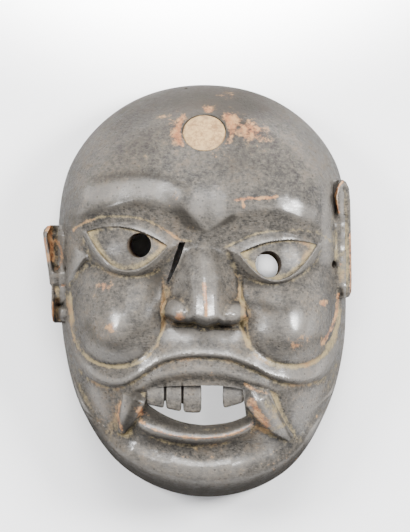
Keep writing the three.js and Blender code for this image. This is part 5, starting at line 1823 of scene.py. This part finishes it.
@dataclass(frozen=True)
class Patina:
    """Dark patina over wood, with dust in creases, bare wood on worn places, and painted shade and painted
    light in its colour.
    """

    dark: Colour = (0.019, 0.018, 0.017, 1.0)
    pale: Colour = (0.112, 0.099, 0.082, 1.0)
    brown: Colour = (0.085, 0.056, 0.032, 1.0)
    # Paler grey of crests worn smooth and of scratches, also used as painted light under the light marks.
    rubbed_and_lit: Colour = (0.135, 0.124, 0.110, 1.0)
    # Dark colour of the dark marks: grime, and painted shade where shade falls.
    soot: Colour = (0.024, 0.0215, 0.0185, 1.0)
    dust: Colour = (0.235, 0.186, 0.098, 1.0)
    tan: Colour = (0.27, 0.155, 0.075, 1.0)
    bare: Colour = (0.26, 0.105, 0.045, 1.0)
    raw: Colour = (0.32, 0.185, 0.088, 1.0)
    inside: Colour = (0.060, 0.036, 0.020, 1.0)
    inside_pale: Colour = (0.11, 0.07, 0.04, 1.0)
    # The last tone weight is the form: proud forms are painted lighter and broad hollows darker, as painted
    # light and shade.
    tone_weights: Sequence[float] = (0.30, 0.38, 0.32, 0.06)
    tone_range: Point = (0.35, 0.65)
    brown_range: Point = (0.50, 0.64)
    brown_share: float = 0.35
    # How paler grey is laid on worn crests and, as painted light, under the light marks.
    rub_and_light_range: Point = (0.0, 0.35)
    rub_and_light_share: float = 0.55
    scratch_share: float = 0.35
    fleck_share: float = 0.25
    pit_share: float = 0.6
    # Steep sides are painted darker than faces that look up: painted shade.
    side_shade_range: Point = (0.10, 0.62)
    side_shade_share: float = 0.45
    # How the dark marks, grime and painted shade, are laid.
    soot_and_shade_range: Point = (0.12, 0.95)
    soot_and_shade_share: float = 0.85
    dust_share: float = 0.85
    dust_range: Point = (0.25, 1.25)
    crease_dust: float = 0.55
    wear_share: float = 0.88
    wear_range: Point = (0.35, 0.85)
    patchiness: Sequence[float] = (1.6, 1.0)
    patch_middle: float = 1.3
    roughness: Point = (0.50, 0.78)
    rougher: Sequence[float] = (0.35, 0.3, 0.3)
    specular: float = 0.12
    gloss_weights: Sequence[float] = (1.1, 1.0, 0.3)
    gloss_range: Point = (-0.05, 0.54)
    gloss_share: Point = (0.08, 1.0)
    gloss_roughness: float = 0.24
    gloss_ior: float = 1.9
    height_weights: Sequence[float] = (0.5, 0.3, 0.35, 0.25, 0.3)
    height: float = 0.0009

    def colour(self, nodes: Nodes, wood: bpy.types.Node, dusty: object,
               worn: object) -> bpy.types.NodeSocket:
        """Colour of the wood, from the patina up to the bare places, with painted shade and painted light
        laid in.

        Args:
            nodes: helper of the material's tree.
            wood: the shared group for old wood.
            dusty: share of dust.
            worn: share of bare wood.

        Returns:
            The mixed colour.
        """
        broad, fine, specks, grain, scratches, pits = wood.outputs
        form = nodes.attribute("form")
        # Tone from the mottles and from the form, which paints proud forms lighter and hollows darker.
        tone = nodes.weighted(*zip((broad, fine, specks, form), self.tone_weights))
        colour = nodes.mix(nodes.spread(tone, *self.tone_range), self.dark, self.pale)
        brown = nodes.spread(nodes.weighted((broad, 0.5), (fine, 0.5)), *self.brown_range)
        colour = nodes.lay(colour, brown, self.brown_share, self.brown)
        # Paler grey on worn crests, and painted light and highlight under the light marks.
        polish = nodes.weighted((nodes.attribute("edge"), 1.0), (nodes.attribute("polish"), 0.4))
        colour = nodes.lay(colour, nodes.spread(polish, *self.rub_and_light_range), self.rub_and_light_share, self.rubbed_and_lit)
        colour = nodes.lay(colour, scratches, self.scratch_share, self.rubbed_and_lit)
        flecks = nodes.product(nodes.spread(specks, 0.60, 0.72), nodes.spread(broad, 0.42, 0.6))
        colour = nodes.lay(colour, flecks, self.fleck_share, self.tan)
        holes = nodes.product(nodes.without(pits), nodes.spread(fine, 0.45, 0.6))
        colour = nodes.lay(colour, holes, self.pit_share, self.dark)
        # Painted shade: the steeper a place, the darker its colour.
        side = nodes.without(nodes.spread(nodes.attribute("facing"), *self.side_shade_range))
        colour = nodes.lay(colour, side, self.side_shade_share, self.dark)
        # Dark marks, darker in broad hollows and mottled: grime together with painted shade.
        sooty_and_shaded = nodes.weighted((nodes.attribute("soot"), 1.0), (form, -0.15),
                               (nodes.maths("SUBTRACT", fine, 0.5), 0.5))
        colour = nodes.lay(colour, nodes.spread(sooty_and_shaded, *self.soot_and_shade_range), self.soot_and_shade_share, self.soot)
        dust = nodes.mix(nodes.spread(broad, 0.50, 0.68), self.dust, self.tan)
        colour = nodes.lay(colour, dusty, self.dust_share, dust)
        bare = nodes.mix(nodes.spread(fine, 0.42, 0.62), self.bare, self.raw)
        colour = nodes.lay(colour, worn, self.wear_share, bare)
        hollow = nodes.mix(nodes.spread(grain, 0.35, 0.7), self.inside, self.inside_pale)
        return nodes.mix(nodes.attribute("inside"), colour, hollow)

    def gloss(self, nodes: Nodes, wood: bpy.types.Node, dusty: object, worn: object,
              clean: object) -> bpy.types.NodeSocket:
        """Weight of the coat: on edges, high forms and light marks that face up, broken by scratches, wear,
        dust and the dark marks.

        Args:
            nodes: helper of the material's tree.
            wood: the shared group for old wood.
            dusty: share of dust.
            worn: share of bare wood.
            clean: what the dark marks of grime and painted shade leave.

        Returns:
            The weight of the coat.
        """
        polish = nodes.weighted(*zip((nodes.attribute(name) for name in ("edge", "polish", "form")),
                                     self.gloss_weights))
        return nodes.product(
            nodes.spread(polish, *self.gloss_range, self.gloss_share),
            nodes.spread(nodes.attribute("facing"), 0.35, 0.85),
            nodes.spread(wood.outputs["Scratches"], 0.0, 0.7, (0.45, 1.0)),
            nodes.without(worn, 0.4), nodes.without(dusty, 0.8), clean)

    def build(self, surface: bpy.types.NodeTree) -> bpy.types.Material:
        """Make the material.

        Args:
            surface: the shared group for old wood.

        Returns:
            The finished material.
        """
        material, shader, nodes = new_material("patinated_wood")
        wood = nodes.old_wood(surface, 1.0)
        _, fine, specks, grain, scratches, pits = wood.outputs
        patches = nodes.weighted(*zip((fine, specks), self.patchiness))
        patchy = nodes.maths("SUBTRACT", patches, self.patch_middle)
        crease = nodes.spread(nodes.attribute("edge"), -0.10, -0.5)
        dust = nodes.weighted((nodes.attribute("dust"), 1.0), (crease, self.crease_dust))
        dusty = nodes.spread(nodes.maths("ADD", dust, patchy), *self.dust_range)
        worn = nodes.spread(nodes.maths("ADD", nodes.attribute("wear"), patchy), *self.wear_range)
        nodes.join(self.colour(nodes, wood, dusty, worn), shader.inputs["Base Color"])

        rough = nodes.spread(fine, 0.35, 0.7, self.roughness)
        rougher = zip((dusty, nodes.attribute("soot"), nodes.attribute("inside")), self.rougher)
        rough = nodes.weighted((rough, 1.0), *rougher, clamp=True)
        nodes.join(rough, shader.inputs["Roughness"])
        clean = nodes.without(nodes.attribute("soot"), 0.9)
        nodes.join(nodes.maths("MULTIPLY", clean, self.specular), shader.inputs["Specular IOR Level"])
        nodes.join(self.gloss(nodes, wood, dusty, worn, clean), shader.inputs["Coat Weight"])
        shader.inputs["Coat Roughness"].default_value = self.gloss_roughness
        shader.inputs["Coat IOR"].default_value = self.gloss_ior
        relief = nodes.weighted(*zip((fine, grain, specks, scratches, pits), self.height_weights))
        nodes.bump(shader, relief, 1.0, self.height)
        return material


@dataclass(frozen=True)
class PaleInlay:
    """Dry, pale, fibrous wood of the forehead disc."""

    light: Colour = (0.40, 0.265, 0.125, 1.0)
    brown: Colour = (0.20, 0.115, 0.058, 1.0)
    grey: Colour = (0.16, 0.135, 0.10, 1.0)
    grain: float = 1.3
    fibre_range: Point = (0.36, 0.60)
    grey_share: float = 0.5
    roughness: float = 0.88
    specular: float = 0.2
    height: float = 0.0006

    def build(self, surface: bpy.types.NodeTree) -> bpy.types.Material:
        """Make the material.

        Args:
            surface: the shared group for old wood.

        Returns:
            The finished material.
        """
        material, shader, nodes = new_material("pale_inlay")
        broad, fine, specks, grain, _, pits = nodes.old_wood(surface, self.grain).outputs
        fibres = nodes.weighted((fine, 0.5), (specks, 0.5))
        colour = nodes.mix(nodes.spread(fibres, *self.fibre_range), self.brown, self.light)
        colour = nodes.lay(colour, nodes.spread(broad, 0.45, 0.7), self.grey_share, self.grey)
        nodes.join(colour, shader.inputs["Base Color"])
        shader.inputs["Roughness"].default_value = self.roughness
        shader.inputs["Specular IOR Level"].default_value = self.specular
        nodes.bump(shader, nodes.weighted((grain, 0.6), (pits, 0.4)), 0.6, self.height)
        return material


@dataclass(frozen=True)
class PaleFloor:
    """Plain pale studio floor."""

    colour: Colour = (0.88, 0.88, 0.885, 1.0)

    def build(self) -> bpy.types.Material:
        """Make the material."""
        material, shader, _ = new_material("pale_floor")
        for name, value in (("Base Color", self.colour), ("Roughness", 0.9), ("Specular IOR Level", 0.1)):
            shader.inputs[name].default_value = value
        return material


# Assembly in the frame

@dataclass
class Fit:
    """Places the carving's millimetres in the frame's metres, inside the mask's own box."""

    low: Array
    scale: Array
    start: Array

    @classmethod
    def to_box(cls, points: Array, low: Array, high: Array) -> "Fit":
        """Fit whose mask points span the box from low to high."""
        start = points.min(axis=0)
        return cls(low, (high - low) / (points.max(axis=0) - start), start)

    def place(self, points: Array) -> Array:
        """Points in metres: their distance from the start, scaled, from the box's low corner."""
        return self.low + (points - self.start) * self.scale


def mesh_rows(made: bpy.types.Object, what: str = "co") -> Array:
    """Places of an object's mesh points as rows, or their normals."""
    flat = np.empty(len(made.data.vertices) * 3)
    made.data.vertices.foreach_get(what, flat)
    return flat.reshape(-1, 3)


def set_points(made: bpy.types.Object, points: Array) -> None:
    """Write rows of points back into an object's mesh."""
    made.data.vertices.foreach_set("co", points.ravel())
    made.data.update()


def write_attribute(made: bpy.types.Object, name: str, values: Array) -> None:
    """Store one value for each point of a mesh."""
    layer = made.data.attributes.new(name, "FLOAT", "POINT")
    layer.data.foreach_set("value", values.astype(np.float32))


def shade(made: bpy.types.Object, degrees: float) -> None:
    """Shade smooth, with edges sharper than an angle kept sharp."""
    made.data.shade_smooth()
    made.data.set_sharp_from_angle(angle=math.radians(degrees))


@dataclass
class Studio:
    """Pale floor, soft lights and a camera straight over the lying mask."""

    scale: float = 0.000652
    picture_centre: Point = (0.0, 15.6)
    distance: float = 6.0
    frame_pixels: Point = (410.0, 532.0)
    floor_reach: float = 6.0
    floor_gap: float = 0.0004

    def floor(self, material: bpy.types.Material) -> None:
        """A wide plane under the rim."""
        square = ((-1, -1), (1, -1), (1, 1), (-1, 1))
        corners = np.array([(x * self.floor_reach, y * self.floor_reach, -self.floor_gap) for x, y in square])
        plane = make_object("floor", corners, [(0, 1, 2, 3)])
        plane.data.materials.append(material)

    def light(self, name: str, at: Point | tuple, aim: tuple, size: float, power: float,
              spread: float | None = None) -> None:
        """One square area light aimed at a point, unseen by the camera where its spread is set."""
        data = bpy.data.lights.new(name, "AREA")
        data.shape = "SQUARE"
        data.size = size
        data.energy = power
        lamp = bpy.data.objects.new(name, data)
        lamp.location = at
        lamp.rotation_euler = (Vector(aim) - Vector(at)).to_track_quat("-Z", "Y").to_euler()
        lamp.visible_camera = spread is None
        if spread is not None:
            data.spread = math.radians(spread)
        bpy.context.scene.collection.objects.link(lamp)

    def lights(self, fit: Fit) -> None:
        """Key from the crown side, fill from above, and two small lights behind the openings."""
        self.light("left_box", (-1.10, 0.40, 1.22), (0.0, 0.0, 0.05), 0.5, 38.0)
        self.light("right_box", (1.15, 0.38, 1.12), (0.0, 0.0, 0.05), 0.5, 60.0)
        self.light("top_box", (0.0, 1.00, 1.26), (0.0, 0.0, 0.05), 1.0, 46.0)
        self.light("floor_wash", (0.0, 0.27, 0.50), (0.0, 0.42, 0.0), 0.12, 18.0, spread=60.0)
        for name, (x, y), size, power in (
            ("mouth_glow_left", (-20.0, -75.0), 0.036, 0.0042),
            ("mouth_glow_right", (12.0, -76.0), 0.036, 0.0042),
            ("sight_glow", (41.0, 17.0), 0.012, 0.0010),
        ):
            px, py, _ = fit.place(np.array([[x, y, 0.0]]))[0]
            self.light(name, (px, py, 0.03), (px, py, 0.0), size, power, spread=25.0)
        world = bpy.data.worlds.new("studio")
        world.use_nodes = True
        background = world.node_tree.nodes["Background"]
        background.inputs["Color"].default_value = (0.96, 0.97, 1.0, 1.0)
        background.inputs["Strength"].default_value = 0.86
        bpy.context.scene.world = world

    def camera(self, fit: Fit) -> None:
        """Long lens straight down, with the crown at the top of the picture."""
        data = bpy.data.cameras.new("camera")
        data.sensor_width = 36.0
        height = self.frame_pixels[1] * self.scale
        data.lens = data.sensor_width * self.distance / height
        data.clip_end = 100.0
        lens = bpy.data.objects.new("camera", data)
        x, y, _ = fit.place(np.array([[*self.picture_centre, 0.0]]))[0]
        lens.location = (x, y, self.distance + 0.05)
        bpy.context.scene.collection.objects.link(lens)
        bpy.context.scene.camera = lens


@dataclass
class Sides:
    """Where the front of the mask ends and its inside starts.

    Attributes:
        front: share of the dome's height, less some millimetres, above which the front lies.
        hollow_gap: how far over the hollow its inside still counts.
        rim_gap: how far over the flat rim its inside still counts.
        clear: heights between which marks of the ears fade off the wall under them.
        blurs: widths over which edges and larger forms are found.
    """

    front: Point = (0.86, 6.0)
    hollow_gap: float = 2.5
    rim_gap: float = 0.4
    clear: Point = (14.0, 26.0)
    blurs: Sequence[tuple[str, float]] = (("edge", 2.2), ("form", 8.0))


def dress_mask(made: bpy.types.Object, marks: Marks, builder: MaskBuilder, sides: Sides) -> None:
    """Store what ages, shades and lights each point of the mask: dust, wear, soot, polish, facing, edge, form
    and inside.

    Args:
        made: the mask, still in millimetres of the carving.
        marks: marks of age, painted shade and painted light on the face.
        builder: sizes of the wall and the ears.
        sides: where its front and its inside lie.
    """
    x, y, z = mesh_rows(made).T
    face_dome = builder.shell.face.dome
    share = face_dome.share_at(x, y)
    near_front = z > face_dome.height(share) * sides.front[0] - sides.front[1]
    hollow_share = builder.shell.hollow.dome.share_at(x, y)
    depth = builder.shell.hollow.height(x, y, hollow_share)
    inside = ((z < depth + sides.hollow_gap) & (hollow_share < 1.0)) | ((z < sides.rim_gap) & (share < 1.0))
    front = near_front & ~inside
    clear_of_wall = smooth_step(*sides.clear, z)
    for kind in Mark:
        reach = clear_of_wall if kind in (Mark.DUST, Mark.WEAR) else 1.0
        write_attribute(made, kind.value, marks.amounts(kind, x, y) * front * reach)
    # How far each point faces up; the patina paints steep sides darker from it, as painted shade.
    write_attribute(made, "facing", np.clip(mesh_rows(made, "normal")[:, 2], 0.0, 1.0) * front)
    # Edge and form: how far each place stands over its smoothed surface. The patina lays paler grey and dust
    # by the edge, and from the form paints proud forms lighter and hollows darker, as painted light and
    # shade.
    for name, blur in sides.blurs:
        over = ReliefMap(builder.shell.face, builder.ears, builder.openings(), blur).at(x, y) * front
        write_attribute(made, name, np.clip(over / blur, -1.0, 1.0) * clear_of_wall)
    write_attribute(made, "inside", inside.astype(float))


def place_piece(made: bpy.types.Object, fit: Fit, node: str,
                material: bpy.types.Material) -> None:
    """Put a finished piece in the frame, in place of its node.

    Args:
        made: the piece, in millimetres of the carving.
        fit: the way from the carving to the frame.
        node: the solid that it stands for.
        material: its finish.
    """
    set_points(made, fit.place(mesh_rows(made)))
    made.data.materials.clear()
    made.data.materials.append(material)
    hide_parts(node)
    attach(made, ROOT)
    LOG.info("%s: %d triangles", made.name, sum(len(face.vertices) - 2 for face in made.data.polygons))


def main() -> None:
    """Build the mask, its disc and the studio."""
    face = Face()
    builder = MaskBuilder(shell=Shell(face=face))
    marks = Marks(face)
    disc = Disc(face)
    surface = surface_group()

    mask = builder.build(marks, disc)
    dress_mask(mask, marks, builder, Sides())
    shade(mask, SHARP_CARVING)
    low, high = (np.array(corner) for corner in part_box("mask"))
    fit = Fit.to_box(mesh_rows(mask), low, high)
    LOG.info("fit: %s mm per carved mm", np.round(fit.scale * 1000.0, 4).tolist())
    place_piece(mask, fit, "mask", Patina().build(surface))

    inlay = disc.build()
    shade(inlay, SHARP_INLAY)
    place_piece(inlay, fit, "third_eye_inlay", PaleInlay().build(surface))

    studio = Studio()
    studio.floor(PaleFloor().build())
    studio.lights(fit)
    studio.camera(fit)


if __name__ == "__main__":
    main()
